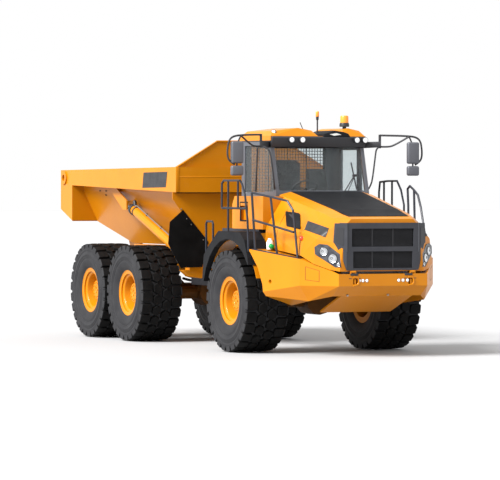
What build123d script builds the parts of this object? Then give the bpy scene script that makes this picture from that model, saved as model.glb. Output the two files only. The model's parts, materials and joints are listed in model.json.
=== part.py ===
"""Articulated dump truck, six wheels, in mm.

+X is the truck's left, -Y its front and +Z up. The origin is on the ground under the middle of its length.
Places along the truck are given as the distance behind the front axle.
"""
from build123d import *
import os
from math import cos, hypot, radians, sin

os.makedirs("parts", exist_ok=True)

# Whole truck
OVERALL_LENGTH = 9945
FRONT_OVERHANG = 2465
WHEELBASE = 4181
TRACK = 2290
LEFT, RIGHT = 1, -1

# Fits and clearances
RUNNING = 0.05
SEAT = 0.3
JOINT_GAP = 7

# Wheels
TYRE_R = 800
TYRE_GAP = 70
LUG_HEIGHT = 52
SHOULDER_DROP = 35
TREAD_HALF = 330
BULGE = 30
LUGS = 24
LUG_SHARE = 0.78
WHEEL_FLATS = 18
RIM_SEAT_R = 318
FLANGE_HEIGHT = 59
FLANGE_FACE = 40
FLANGE_DEPTH = 15
RIM_HALF = 300
DISH_R = 272
DISC_FACE = 60
DISC_THICK = 25
BARREL_WALL = 30
HUB_R = 165
HUB_PROUD = 75
SPINDLE_R = 50
SPINDLE_LENGTH = 60

# Frames
RAIL_IN, RAIL_THICK = 330, 80
FRONT_RAIL_Z, FRONT_RAIL_DEPTH = 930, 250
REAR_RAIL_Z, REAR_RAIL_DEPTH = 1150, 300
REAR_RAIL_START, REAR_RAIL_END = 2010, 6250
CROSS = 150
AXLE_TUBE_R, DIFF_R, HUB_DRUM_R, HUB_DRUM_IN = 110, 230, 200, 880
BEAM_X, BEAM_THICK, STUB_Z, STUB_R = 560, 120, 1180, 70

# Hitch
STEER_Y = 1450
STEER_PIN_R = 60
YOKE_R = 105
LUG_BASE, LUG_THICK, LUG_SPAN = 850, 40, 480
TUBE_R, TUBE_Z, TUBE_WALL = 150, 1110, 70
RING_FRONT, RING_REAR = 1900, 2110

# Steering rams
STEER_RAM_Z = 1250
STEER_FOOT = (370, 810)
STEER_EYE = (245, 1700)
STEER_RAM_R, STEER_ROD_R, STEER_EYE_R, STEER_STUD_R = 50, 28, 55, 25
STEER_TRAVEL = 214

# Tipping gear: hinge, ram pin on the bin and ram pivot on the chassis
TIP_Y, TIP_Z, TIP_PIN_R = 6450, 1350, 60
RAM_X, RAM_R, RAM_ROD_R, RAM_EYE_R, RAM_PIN_R = 1120, 80, 45, 75, 40
RAM_TOP = (4900, 2250)
RAM_FOOT = (2620, 1480)
RAM_GLAND = 175
RAM_TAIL = 140

# Bin
BIN_HALF = 1350
WALL_TOP_HALF = 1130
CHINE_HALF = 700
PLATE = 16
WALL = 18
FLOOR_Z = 1600
TROUGH_DEPTH = 880
RAIL_DEPTH = 410
RAIL_DEPTH_REAR = 250
RAIL_DROP = 48
BIN_FRONT = 2500
BEAM_DEPTH = 130
KICK_Y = 5750
DUCK_Y, DUCK_RISE = 6960, 360
LIP_RISE = 190
GUARD_HEIGHT, GUARD_HALF = 430, 600
FLAP = 10
BOSS_INSET, BOSS_DROP, BOSS_R, BOSS_BORE = 180, 134, 115, 57

# Front end
NOSE_HALF = 745
BUMPER_TOP, BUMPER_CREASE, BUMPER_FOOT = 1270, 1087, 930
CORNER = (1130, -1900)
CORNER_TOP, CORNER_FOOT = 1490, (980, 850)
SKIRT_REAR = (1450, -750)
SKIRT_RISE = 130
ARCH_R = 1090
HOOD_WALL = 25
HOOD_PIVOT = (-2445, 1300)
HOOD_PIN_R, KNUCKLE_R = 10, 21

# Cab and platforms
CAB_HALF = 805
DECK_Z, DECK_THICK = 1860, 60
CAB_FRONT, SCREEN_LEAN, CAB_LENGTH = -330, 230, 1310
SILL_RISE, CAB_HEIGHT = 570, 1380
CAB_WALL = 45
GLASS = 8
DOOR_FRONT, DOOR_LENGTH, DOOR_SILL, DOOR_HEAD = -40, 740, 55, 60
DOOR_CLEAR = 6
MUD_IN, MUD_OUT, MUD_TOP, MUD_ARCH_R = 1140, 1490, 1885, 965
RAIL_TUBE_R, ARM_R = 18, 12
ROOF_THICK, ROOF_HUMP = 72, 128

# Derived places
BOGIE_SPREAD = 2 * TYRE_R + TYRE_GAP
REAR_AXLES = (WHEELBASE, WHEELBASE + BOGIE_SPREAD)
BOGIE_MIDDLE = WHEELBASE + BOGIE_SPREAD / 2
FRONT_AXLE_Y = -OVERALL_LENGTH / 2 + FRONT_OVERHANG
FLANGE_R = RIM_SEAT_R + FLANGE_HEIGHT
AXLE_Z = TYRE_R
RAIL_OUT = RAIL_IN + RAIL_THICK
FRONT_RAIL = (FRONT_RAIL_Z, FRONT_RAIL_Z + FRONT_RAIL_DEPTH)
REAR_RAIL = (REAR_RAIL_Z, REAR_RAIL_Z + REAR_RAIL_DEPTH)
LOWER_LUG = (LUG_BASE, LUG_BASE + LUG_THICK)
UPPER_LUG = (LUG_BASE + LUG_SPAN, LUG_BASE + LUG_SPAN + LUG_THICK)
RAIL_BOTTOM = FLOOR_Z + TROUGH_DEPTH
RAIL_TOP = RAIL_BOTTOM + RAIL_DEPTH
DUCK_Z = FLOOR_Z + DUCK_RISE
BIN_REAR = OVERALL_LENGTH - FRONT_OVERHANG
BIN_INNER = BIN_FRONT + PLATE
NOSE = -FRONT_OVERHANG
DECK_TOP = DECK_Z + DECK_THICK
CAB_FLOOR = DECK_TOP + SEAT
SILL = DECK_TOP + SILL_RISE
CAB_TOP = DECK_TOP + CAB_HEIGHT
CAB_FRONT_TOP = CAB_FRONT + SCREEN_LEAN
CAB_REAR = CAB_FRONT + CAB_LENGTH
DOOR_REAR = DOOR_FRONT + DOOR_LENGTH


def aft(distance):
    """Y of a place at this distance behind the front axle."""
    return FRONT_AXLE_Y + distance


def prism_x(points, x0, x1, mode=Mode.ADD):
    """Block with a side-view outline, given as distance aft and height, from x0 to x1."""
    with BuildSketch(Plane.YZ.offset(x0)) as face:
        Polygon(*[(aft(y), z) for y, z in points], align=None)
    extrude(face.sketch, amount=x1 - x0, mode=mode)


def prism_y(points, y0, y1, mode=Mode.ADD):
    """Block with a front-view outline in X-Z, from y0 to y1 behind the front axle."""
    with BuildSketch(Plane.XZ.offset(-aft(y0))) as face:
        Polygon(*points, align=None)
    extrude(face.sketch, amount=y0 - y1, mode=mode)


def prism_z(points, z0, z1, mode=Mode.ADD):
    """Block with a plan-view outline, from z0 to z1."""
    with BuildSketch(Plane.XY.offset(z0)) as face:
        Polygon(*[(x, aft(y)) for x, y in points], align=None)
    extrude(face.sketch, amount=z1 - z0, mode=mode)


def block(x0, x1, y0, y1, z0, z1, mode=Mode.ADD):
    """Box between two corners."""
    prism_z([(x0, y0), (x1, y0), (x1, y1), (x0, y1)], z0, z1, mode)


def shaft(start, end, radius, mode=Mode.ADD, flats=0):
    """Round bar between two points given as x, distance aft and z, or one with that many flats."""
    a, b = Vector(start[0], aft(start[1]), start[2]), Vector(end[0], aft(end[1]), end[2])
    with BuildSketch(Plane(origin=a, z_dir=(b - a).normalized())) as face:
        if flats:
            RegularPolygon(radius, flats)
        else:
            Circle(radius)
    extrude(face.sketch, amount=(b - a).length, mode=mode)


def rings(sections, flats, mode=Mode.ADD):
    """Flat-sided body of rings along X through sections given as x and radius."""
    faces = []
    for x, radius in sections:
        with BuildSketch(Plane.YZ.offset(x)) as face:
            RegularPolygon(radius, flats)
        faces.append(face.sketch)
    loft(faces, ruled=True, mode=mode)


def tube(points, radius, flats=6):
    """Bent rail tube along straight runs through points given as x, distance aft and z."""
    places = [Vector(x, aft(y), z) for x, y, z in points]
    with BuildLine() as path:
        Polyline(*places)
    with BuildSketch(Plane(origin=places[0], z_dir=(places[1] - places[0]).normalized())) as face:
        RegularPolygon(radius, flats)
    sweep(face.sketch, path=path.wires()[0], transition=Transition.RIGHT)


def hull(points, mode=Mode.ADD):
    """Solid with flat facets between corners given as x, distance aft and z."""
    ConvexPolyhedron([(x, aft(y), z) for x, y, z in points], mode=mode)


def arch(radius, start, end, steps):
    """Points of a wheel arch in side view, from one angle above the ground's line to another."""
    turns = [radians(start + (end - start) * i / steps) for i in range(steps + 1)]
    return [(radius * cos(turn), AXLE_Z + radius * sin(turn)) for turn in turns]


def between(low, high, share):
    """Value at a share of the way from low to high."""
    return low + (high - low) * share


def keep(builder, name):
    """Label a finished piece and write it out."""
    builder.part.label = name
    export_step(builder.part, f"parts/{name}.step")


# Wheels: one tyre and one rim, copied to six places
SEAT_HALF = RIM_HALF - FLANGE_DEPTH
SHOULDER_R = TYRE_R - LUG_HEIGHT - SHOULDER_DROP
bulge_r = between(FLANGE_R, SHOULDER_R, 0.5)


def tread_band():
    """The tread: a ring with straight lugs across it, one of them standing on the ground."""
    pitch, base = 360 / LUGS, TYRE_R - LUG_HEIGHT
    corners = []
    for i in range(LUGS):
        for turn, radius in ((-1.1, base), (-1, TYRE_R), (0, TYRE_R), (1, TYRE_R), (1.1, base)):
            angle = radians(i * pitch - 90 + turn * LUG_SHARE * pitch / 2)
            corners.append((radius * cos(angle), radius * sin(angle)))
    with BuildSketch(Plane.YZ) as face:
        Polygon(*corners, align=None)
        RegularPolygon(bulge_r, WHEEL_FLATS, mode=Mode.SUBTRACT)
    extrude(face.sketch, amount=TREAD_HALF, both=True)


with BuildPart() as tyre:
    bulge_half = TREAD_HALF + BULGE
    bead = [(RIM_HALF - SEAT, FLANGE_R + SEAT), (SEAT_HALF - SEAT, RIM_SEAT_R + SEAT)]
    half = [(TREAD_HALF, SHOULDER_R), (bulge_half, bulge_r), bead[0]]
    rings([(-x, r) for x, r in reversed(half)] + half, WHEEL_FLATS)
    tread_band()
    rings([(-bulge_half, RIM_SEAT_R + SEAT), (bulge_half, RIM_SEAT_R + SEAT)], WHEEL_FLATS, Mode.SUBTRACT)
    for side in (LEFT, RIGHT):
        rings([(side * x, r) for x, r in bead], WHEEL_FLATS, Mode.SUBTRACT)

with BuildPart() as rim:
    rings(
        [(-RIM_HALF, FLANGE_R), (-SEAT_HALF, RIM_SEAT_R), (SEAT_HALF, RIM_SEAT_R), (RIM_HALF, FLANGE_R)],
        WHEEL_FLATS,
    )
    rings(
        [(RIM_HALF + 1, FLANGE_R - FLANGE_FACE), (RIM_HALF - FLANGE_FACE, DISH_R), (DISC_FACE, DISH_R)],
        WHEEL_FLATS, Mode.SUBTRACT,
    )
    rings([(DISC_FACE, HUB_R), (DISC_FACE + HUB_PROUD, HUB_R)], WHEEL_FLATS)
    disc_back = DISC_FACE - DISC_THICK
    barrel_bore = RIM_SEAT_R - BARREL_WALL
    rings([(-RIM_HALF, barrel_bore), (disc_back, barrel_bore)], WHEEL_FLATS, Mode.SUBTRACT)
    with BuildSketch(Plane.YZ.offset(disc_back)) as bore:
        Circle(SPINDLE_R + RUNNING)
    extrude(bore.sketch, amount=SPINDLE_LENGTH, mode=Mode.SUBTRACT)

WHEELS = (  # name, side, distance behind the front axle
    ("front_right", RIGHT, 0),
    ("front_left", LEFT, 0),
    ("middle_right", RIGHT, REAR_AXLES[0]),
    ("middle_left", LEFT, REAR_AXLES[0]),
    ("rear_right", RIGHT, REAR_AXLES[1]),
    ("rear_left", LEFT, REAR_AXLES[1]),
)
for name, side, distance in WHEELS:
    centre = (side * TRACK / 2, aft(distance), AXLE_Z)
    with BuildPart() as placed_tyre:
        with Locations(centre):
            add(tyre.part)
    keep(placed_tyre, f"tyre_{name}")
    with BuildPart() as placed_rim:
        with Locations(Location(centre, (0, 0, 0 if side == LEFT else 180))):
            add(rim.part)
    keep(placed_rim, f"rim_{name}")


# Axles
def axle(distance):
    """Axle tube with its differential, hub drums and wheel spindles."""
    hub_face = TRACK / 2 + disc_back - SEAT
    shaft((-hub_face, distance, AXLE_Z), (hub_face, distance, AXLE_Z), AXLE_TUBE_R, flats=12)
    shaft((0, distance - DIFF_R, AXLE_Z), (0, distance + DIFF_R, AXLE_Z), DIFF_R, flats=12)
    for side in (LEFT, RIGHT):
        shaft((side * HUB_DRUM_IN, distance, AXLE_Z), (side * hub_face, distance, AXLE_Z), HUB_DRUM_R, flats=12)
        spindle_end = hub_face + SPINDLE_LENGTH - 5
        shaft((side * hub_face, distance, AXLE_Z), (side * spindle_end, distance, AXLE_Z), SPINDLE_R)


with BuildPart() as front_axle:
    axle(0)
    for side in (LEFT, RIGHT):
        seat = sorted((side * RAIL_IN, side * RAIL_OUT))
        block(*seat, -90, 90, AXLE_Z, FRONT_RAIL[0] - SEAT)
keep(front_axle, "front_axle")

with BuildPart() as rear_axles:
    for distance in REAR_AXLES:
        axle(distance)
keep(rear_axles, "rear_axles")

# Front chassis: two rails, cab posts, crosshead and the two hitch lugs
CHASSIS_NOSE = NOSE + 235
CROSSHEAD = (STEER_Y - 360, STEER_Y - 200)
CLEVIS_TOP = STEER_RAM_Z + STEER_RAM_R + 25
with BuildPart() as front_chassis:
    for side in (LEFT, RIGHT):
        rail = sorted((side * RAIL_IN, side * RAIL_OUT))
        block(*rail, CHASSIS_NOSE, CROSSHEAD[1], *FRONT_RAIL)
        for y in (CAB_FRONT, CAB_FRONT + CAB_LENGTH / 2):
            block(*rail, y, y + 140, FRONT_RAIL[1] - 10, DECK_Z - SEAT)
        foot_x, foot_y = STEER_FOOT
        plate = sorted((side * (foot_x - STEER_EYE_R), side * (foot_x + STEER_EYE_R)))
        front, rear = foot_y - 100, foot_y + STEER_EYE_R
        block(*plate, front, rear, FRONT_RAIL[1] - 10, STEER_RAM_Z - STEER_RAM_R - JOINT_GAP)
        block(*plate, front, rear, STEER_RAM_Z + STEER_RAM_R + JOINT_GAP, CLEVIS_TOP)
        block(*plate, front, front + 35, FRONT_RAIL[1] - 10, CLEVIS_TOP)
        shaft((side * foot_x, foot_y, FRONT_RAIL[1]), (side * foot_x, foot_y, CLEVIS_TOP - 5), STEER_STUD_R)
    block(-RAIL_OUT, RAIL_OUT, *CROSSHEAD, LOWER_LUG[0], FRONT_RAIL[1])
    block(-140, 140, *CROSSHEAD, FRONT_RAIL[1], UPPER_LUG[1])
    block(-RAIL_IN, RAIL_IN, CHASSIS_NOSE, CHASSIS_NOSE + 80, *FRONT_RAIL)
    for low, high in (LOWER_LUG, UPPER_LUG):
        wide = [(-300, CROSSHEAD[1]), (-300, CROSSHEAD[0]), (300, CROSSHEAD[0]), (300, CROSSHEAD[1])]
        prism_z(wide + [(YOKE_R, STEER_Y), (-YOKE_R, STEER_Y)], low, high)
        shaft((0, STEER_Y, low), (0, STEER_Y, high), YOKE_R, flats=12)
    bore_ends = (0, STEER_Y, LOWER_LUG[0] - 10), (0, STEER_Y, UPPER_LUG[1] + 10)
    shaft(*bore_ends, STEER_PIN_R + RUNNING, Mode.SUBTRACT)
keep(front_chassis, "front_chassis")

# Hitch yoke: steering pin, and the tube in which the rear frame rolls
with BuildPart() as yoke:
    shaft((0, STEER_Y, LOWER_LUG[1] + SEAT), (0, STEER_Y, UPPER_LUG[0] - SEAT), YOKE_R, flats=12)
    shaft((0, STEER_Y, LOWER_LUG[0]), (0, STEER_Y, UPPER_LUG[1]), STEER_PIN_R)
    shaft((0, STEER_Y + STEER_PIN_R, TUBE_Z), (0, RING_REAR + 40, TUBE_Z), TUBE_R)
    eye_x, eye_y = STEER_EYE
    arm_top = STEER_RAM_Z - STEER_RAM_R - 5 - SEAT
    for side in (LEFT, RIGHT):
        arm = sorted((side * 100, side * (eye_x + STEER_EYE_R)))
        block(*arm, STEER_Y + 180, eye_y + STEER_EYE_R, arm_top - 50, arm_top)
keep(yoke, "yoke")

# Rear chassis: two rails, the ring round the yoke's tube, cross-members, ram feet and tip hinge
HINGE_PLATE_X, HINGE_PLATE = 240, 60
with BuildPart() as rear_chassis:
    foot_y, foot_z = RAM_FOOT
    for side in (LEFT, RIGHT):
        rail = sorted((side * RAIL_IN, side * RAIL_OUT))
        block(*rail, REAR_RAIL_START, REAR_RAIL_END, *REAR_RAIL)
        hinge_plate = sorted((side * HINGE_PLATE_X, side * (HINGE_PLATE_X + HINGE_PLATE)))
        root = REAR_RAIL_END - CROSS
        prism_x(
            [
                (root, REAR_RAIL[0]), (TIP_Y, TIP_Z - 100), (TIP_Y + 90, TIP_Z), (TIP_Y, TIP_Z + 100),
                (root, REAR_RAIL[1]),
            ],
            *hinge_plate,
        )
        beam = sorted((side * RAIL_IN, side * (RAM_X - RAM_R - 10)))
        block(*beam, foot_y - 80, foot_y + 100, REAR_RAIL[0] + 40, foot_z + 80)
        shaft((side * 1000, foot_y, foot_z), (side * (RAM_X + RAM_EYE_R), foot_y, foot_z), RAM_PIN_R)
        stub_end = BEAM_X + BEAM_THICK + 40
        shaft((side * RAIL_IN, BOGIE_MIDDLE, STUB_Z), (side * stub_end, BOGIE_MIDDLE, STUB_Z), STUB_R)
    shaft((0, RING_FRONT, TUBE_Z), (0, RING_REAR, TUBE_Z), TUBE_R + TUBE_WALL, flats=12)
    block(-RAIL_OUT, RAIL_OUT, REAR_RAIL_START, RING_REAR, 900, REAR_RAIL[1])
    for y in (foot_y - 80, BOGIE_MIDDLE - CROSS / 2, REAR_RAIL_END - CROSS):
        block(-RAIL_IN, RAIL_IN, y, y + CROSS, *REAR_RAIL)
    block(-90, 90, REAR_RAIL_START - 50, REAR_RAIL_START + 50, AXLE_Z - 80, 930)
    shaft((0, RING_FRONT - 10, TUBE_Z), (0, RING_REAR + 10, TUBE_Z), TUBE_R + RUNNING, Mode.SUBTRACT)
    shaft((0, REAR_RAIL_START - 60, AXLE_Z), (0, REAR_RAIL_START + 60, AXLE_Z), 50 + RUNNING, Mode.SUBTRACT)
    shaft((-RAIL_OUT, TIP_Y, TIP_Z), (RAIL_OUT, TIP_Y, TIP_Z), TIP_PIN_R)
keep(rear_chassis, "rear_chassis")

with BuildPart() as propshaft:
    shaft_end = WHEELBASE - DIFF_R - SEAT
    shaft((0, RING_FRONT - 20, AXLE_Z), (0, shaft_end, AXLE_Z), 50, flats=10)
    for flange in (RING_REAR + 90, shaft_end - 100):
        shaft((0, flange, AXLE_Z), (0, flange + 60, AXLE_Z), 90, flats=10)
keep(propshaft, "propshaft")

# Walking beams carry the two rear axles on a cross shaft
with BuildPart() as walking_beams:
    seat_z = AXLE_Z + AXLE_TUBE_R + SEAT
    ahead, behind = REAR_AXLES
    for side in (LEFT, RIGHT):
        beam = sorted((side * BEAM_X, side * (BEAM_X + BEAM_THICK)))
        prism_x(
            [
                (ahead - 130, seat_z), (ahead + 130, seat_z), (BOGIE_MIDDLE - 200, STUB_Z - 100),
                (BOGIE_MIDDLE + 200, STUB_Z - 100), (behind - 130, seat_z), (behind + 130, seat_z),
                (behind + 130, seat_z + 150), (BOGIE_MIDDLE + 160, STUB_Z + 120), (BOGIE_MIDDLE - 160, STUB_Z + 120),
                (ahead - 130, seat_z + 150),
            ],
            *beam,
        )
        bore = STUB_R + RUNNING
        shaft((beam[0] - 5, BOGIE_MIDDLE, STUB_Z), (beam[1] + 5, BOGIE_MIDDLE, STUB_Z), bore, Mode.SUBTRACT)
keep(walking_beams, "walking_beams")


# Rams: each is a barrel on its foot pin and a rod with an eye
def unit(start, end):
    """Length and direction from start to end in the Y-Z or X-Y plane."""
    length = hypot(end[0] - start[0], end[1] - start[1])
    return length, ((end[0] - start[0]) / length, (end[1] - start[1]) / length)


def tip_point(side, distance):
    """Point on a tipping ram's centre line, this far from its foot pin."""
    _, (dy, dz) = unit(RAM_FOOT, RAM_TOP)
    return (side * RAM_X, RAM_FOOT[0] + dy * distance, RAM_FOOT[1] + dz * distance)


def cross_pin(centre, half, radius, mode=Mode.ADD, flats=0):
    """Round boss or bore along X about a ram's eye."""
    x, y, z = centre
    shaft((x - half, y, z), (x + half, y, z), radius, mode, flats)


for name, side in (("right", RIGHT), ("left", LEFT)):
    length, _ = unit(RAM_FOOT, RAM_TOP)
    with BuildPart() as barrel:
        shaft(tip_point(side, 40), tip_point(side, length - RAM_GLAND), RAM_R, flats=12)
        cross_pin(tip_point(side, 0), RAM_EYE_R - 10, RAM_EYE_R, flats=12)
        shaft(tip_point(side, RAM_TAIL - 10), tip_point(side, length), RAM_ROD_R + RUNNING, Mode.SUBTRACT)
        cross_pin(tip_point(side, 0), RAM_EYE_R + 5, RAM_PIN_R + RUNNING, Mode.SUBTRACT)
    keep(barrel, f"tip_barrel_{name}")
    with BuildPart() as rod:
        shaft(tip_point(side, RAM_TAIL), tip_point(side, length - 40), RAM_ROD_R)
        cross_pin(tip_point(side, length), 50, RAM_EYE_R, flats=12)
    keep(rod, f"tip_rod_{name}")


def steer_point(side, distance):
    """Point on a steering ram's centre line, this far from its foot pin."""
    _, (dx, dy) = unit(STEER_FOOT, STEER_EYE)
    return (side * (STEER_FOOT[0] + dx * distance), STEER_FOOT[1] + dy * distance, STEER_RAM_Z)


def upright(centre, half, radius, mode=Mode.ADD, flats=0):
    """Round boss or bore along Z about a steering ram's eye."""
    x, y, z = centre
    shaft((x, y, z - half), (x, y, z + half), radius, mode, flats)


for name, side in (("right", RIGHT), ("left", LEFT)):
    length, _ = unit(STEER_FOOT, STEER_EYE)
    gland = length - STEER_TRAVEL - STEER_EYE_R - 30
    with BuildPart() as barrel:
        shaft(steer_point(side, 30), steer_point(side, gland), STEER_RAM_R, flats=12)
        upright(steer_point(side, 0), STEER_RAM_R, STEER_EYE_R, flats=12)
        shaft(steer_point(side, 80), steer_point(side, length), STEER_ROD_R + RUNNING, Mode.SUBTRACT)
        upright(steer_point(side, 0), STEER_RAM_R + 10, STEER_STUD_R + RUNNING, Mode.SUBTRACT)
    keep(barrel, f"steer_barrel_{name}")
    with BuildPart() as rod:
        shaft(steer_point(side, gland - STEER_TRAVEL - 45), steer_point(side, length - 30), STEER_ROD_R)
        upright(steer_point(side, length), STEER_RAM_R + 5, STEER_EYE_R, flats=12)
    keep(rod, f"steer_rod_{name}")

# Bin: floor with ducktail, sloping sides under box rails, front wall with its guard, and the hinge plates
SLOPE = (WALL_TOP_HALF - CHINE_HALF) / TROUGH_DEPTH


def wall_half(z):
    """Half width of the trough's outer face at this height."""
    return CHINE_HALF + (z - FLOOR_Z) * SLOPE


def floor_z(y):
    """Height of the floor's underside between the kick and the ducktail."""
    return FLOOR_Z + (y - KICK_Y) * DUCK_RISE / (DUCK_Y - KICK_Y)


FLOOR_LINE = [(BIN_INNER + SEAT, FLOOR_Z), (KICK_Y, FLOOR_Z), (DUCK_Y, DUCK_Z), (BIN_REAR, DUCK_Z + LIP_RISE)]
BIN_LUG = HINGE_PLATE_X + HINGE_PLATE + 30

with BuildPart() as bin_floor:
    upper = [(y, z + PLATE) for y, z in reversed(FLOOR_LINE)]
    prism_x(FLOOR_LINE + upper, -BIN_HALF + PLATE + SEAT, BIN_HALF - PLATE - SEAT)
    for side in (LEFT, RIGHT):
        low, high, beyond = FLOOR_Z - 50, DUCK_Z + 200, BIN_HALF + 100
        outside = [(wall_half(low), low), (beyond, low), (beyond, high), (wall_half(high), high)]
        prism_y([(side * x, z) for x, z in outside], BIN_FRONT - 100, DUCK_Y, Mode.SUBTRACT)
        hinge_plate = sorted((side * BIN_LUG, side * (BIN_LUG + 60)))
        lug_front, lug_rear = TIP_Y - 350, TIP_Y + 450
        prism_x(
            [
                (lug_front, floor_z(lug_front) + 8), (TIP_Y - 100, TIP_Z + 45), (TIP_Y, TIP_Z - 100),
                (TIP_Y + 100, TIP_Z + 45), (lug_rear, floor_z(lug_rear) + 8),
            ],
            *hinge_plate,
        )
        shaft((hinge_plate[0], TIP_Y, TIP_Z), (hinge_plate[1], TIP_Y, TIP_Z), 110, flats=12)
        bore = TIP_PIN_R + RUNNING
        shaft((hinge_plate[0] - 5, TIP_Y, TIP_Z), (hinge_plate[1] + 5, TIP_Y, TIP_Z), bore, Mode.SUBTRACT)
keep(bin_floor, "bin_floor")

RAIL_TOP_REAR = RAIL_TOP - RAIL_DROP
WALL_LAP = 150
with BuildPart() as bin_sides:
    rail_front = BIN_FRONT - BEAM_DEPTH
    rail_side = [
        (rail_front, RAIL_BOTTOM), (rail_front, RAIL_TOP), (BIN_REAR, RAIL_TOP_REAR),
        (BIN_REAR, RAIL_TOP_REAR - RAIL_DEPTH_REAR),
    ]
    prism_x(rail_side, WALL_TOP_HALF, BIN_HALF)
    wall_low, wall_high = wall_half(FLOOR_Z), RAIL_BOTTOM + WALL_LAP
    prism_y(
        [
            (wall_low, FLOOR_Z), (WALL_TOP_HALF, RAIL_BOTTOM), (WALL_TOP_HALF, wall_high),
            (WALL_TOP_HALF - WALL, wall_high), (WALL_TOP_HALF - WALL, RAIL_BOTTOM), (wall_low - WALL, FLOOR_Z),
        ],
        BIN_INNER + SEAT, DUCK_Y,
    )
    tail_high = RAIL_TOP_REAR - 100
    prism_y(
        [(BIN_HALF - PLATE, DUCK_Z), (BIN_HALF, DUCK_Z), (BIN_HALF, tail_high), (BIN_HALF - PLATE, tail_high)],
        DUCK_Y - PLATE, BIN_REAR,
    )
    prism_y(
        [(wall_half(DUCK_Z), DUCK_Z), (BIN_HALF, DUCK_Z), (BIN_HALF, wall_high), (WALL_TOP_HALF, wall_high)],
        DUCK_Y - PLATE, DUCK_Y,
    )
    deep, past = FLOOR_Z - 600, BIN_REAR + 50
    below = [(BIN_FRONT, deep), (past, deep), (past, DUCK_Z + LIP_RISE + PLATE + 24)]
    prism_x(below + [(y, z + PLATE + SEAT) for y, z in reversed(FLOOR_LINE)], 0, BIN_HALF + 10, Mode.SUBTRACT)
    pin_y, pin_z = RAM_TOP
    foot = [(pin_y - 75, pin_z - 75), (pin_y + 75, pin_z - 75)]
    rail_lap, wall_lap = RAIL_BOTTOM + 110, RAIL_BOTTOM - 100
    arm = foot + [(pin_y + 800, rail_lap), (pin_y + 500, rail_lap), (pin_y - 75, pin_z + 80)]
    prism_x(arm, RAM_X + 60, RAM_X + 85)
    prism_x(foot + [(pin_y + 330, wall_lap), (pin_y - 110, wall_lap)], RAM_X - 85, RAM_X - 60)
    trough = [(0, FLOOR_Z), (wall_low - WALL, FLOOR_Z), (WALL_TOP_HALF - WALL, RAIL_BOTTOM), (0, RAIL_BOTTOM)]
    prism_y(trough, pin_y - 300, pin_y + 500, Mode.SUBTRACT)
    boss_y, boss_z = BIN_REAR - BOSS_INSET, RAIL_TOP_REAR - BOSS_DROP
    shaft((WALL_TOP_HALF, boss_y, boss_z), (BIN_HALF + 25, boss_y, boss_z), BOSS_R, flats=18)
    shaft((WALL_TOP_HALF - 30, boss_y, boss_z), (BIN_HALF + 30, boss_y, boss_z), BOSS_BORE, Mode.SUBTRACT)
    mirror(about=Plane.YZ)
keep(bin_sides, "bin_sides")

# Front wall: the sheet ends on a line from beside the floor to the rails, and rubber flaps carry it on
WALL_EDGE = [(800, FLOOR_Z + 40), (BIN_HALF, RAIL_BOTTOM - 110)]
with BuildPart() as bin_front:
    edge = WALL_EDGE + [(BIN_HALF, RAIL_BOTTOM - SEAT)]
    foot = CHINE_HALF + 20
    wall = [(-x, z) for x, z in edge] + [(x, z) for x, z in reversed(edge)] + [(foot, FLOOR_Z), (-foot, FLOOR_Z)]
    prism_y(wall, BIN_FRONT, BIN_INNER)
    inner = WALL_TOP_HALF - SEAT
    block(-inner, inner, BIN_FRONT, BIN_INNER, RAIL_BOTTOM - SEAT, RAIL_TOP)
    block(-inner, inner, BIN_FRONT - BEAM_DEPTH, BIN_FRONT, RAIL_BOTTOM, RAIL_TOP)
    guard_y, guard_low, guard_top = BIN_FRONT - 90, RAIL_TOP + SEAT, RAIL_TOP + GUARD_HEIGHT
    guard_half = BIN_HALF - 20
    guard = [(-guard_half, guard_low), (guard_half, guard_low), (GUARD_HALF, guard_top), (-GUARD_HALF, guard_top)]
    prism_y(guard, guard_y, guard_y + PLATE)
    block(-inner, inner, guard_y, guard_y + PLATE, RAIL_TOP, RAIL_TOP + 5)
keep(bin_front, "bin_front")

with BuildPart() as bin_flaps:
    flap = [(1168, 2194), (1400, 2000), (1430, 1645), (1210, 1255), (830, 1263), (718, 1671)]
    prism_y(flap, BIN_FRONT - SEAT - FLAP, BIN_FRONT - SEAT)
    mirror(about=Plane.YZ)
keep(bin_flaps, "bin_flaps")

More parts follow.
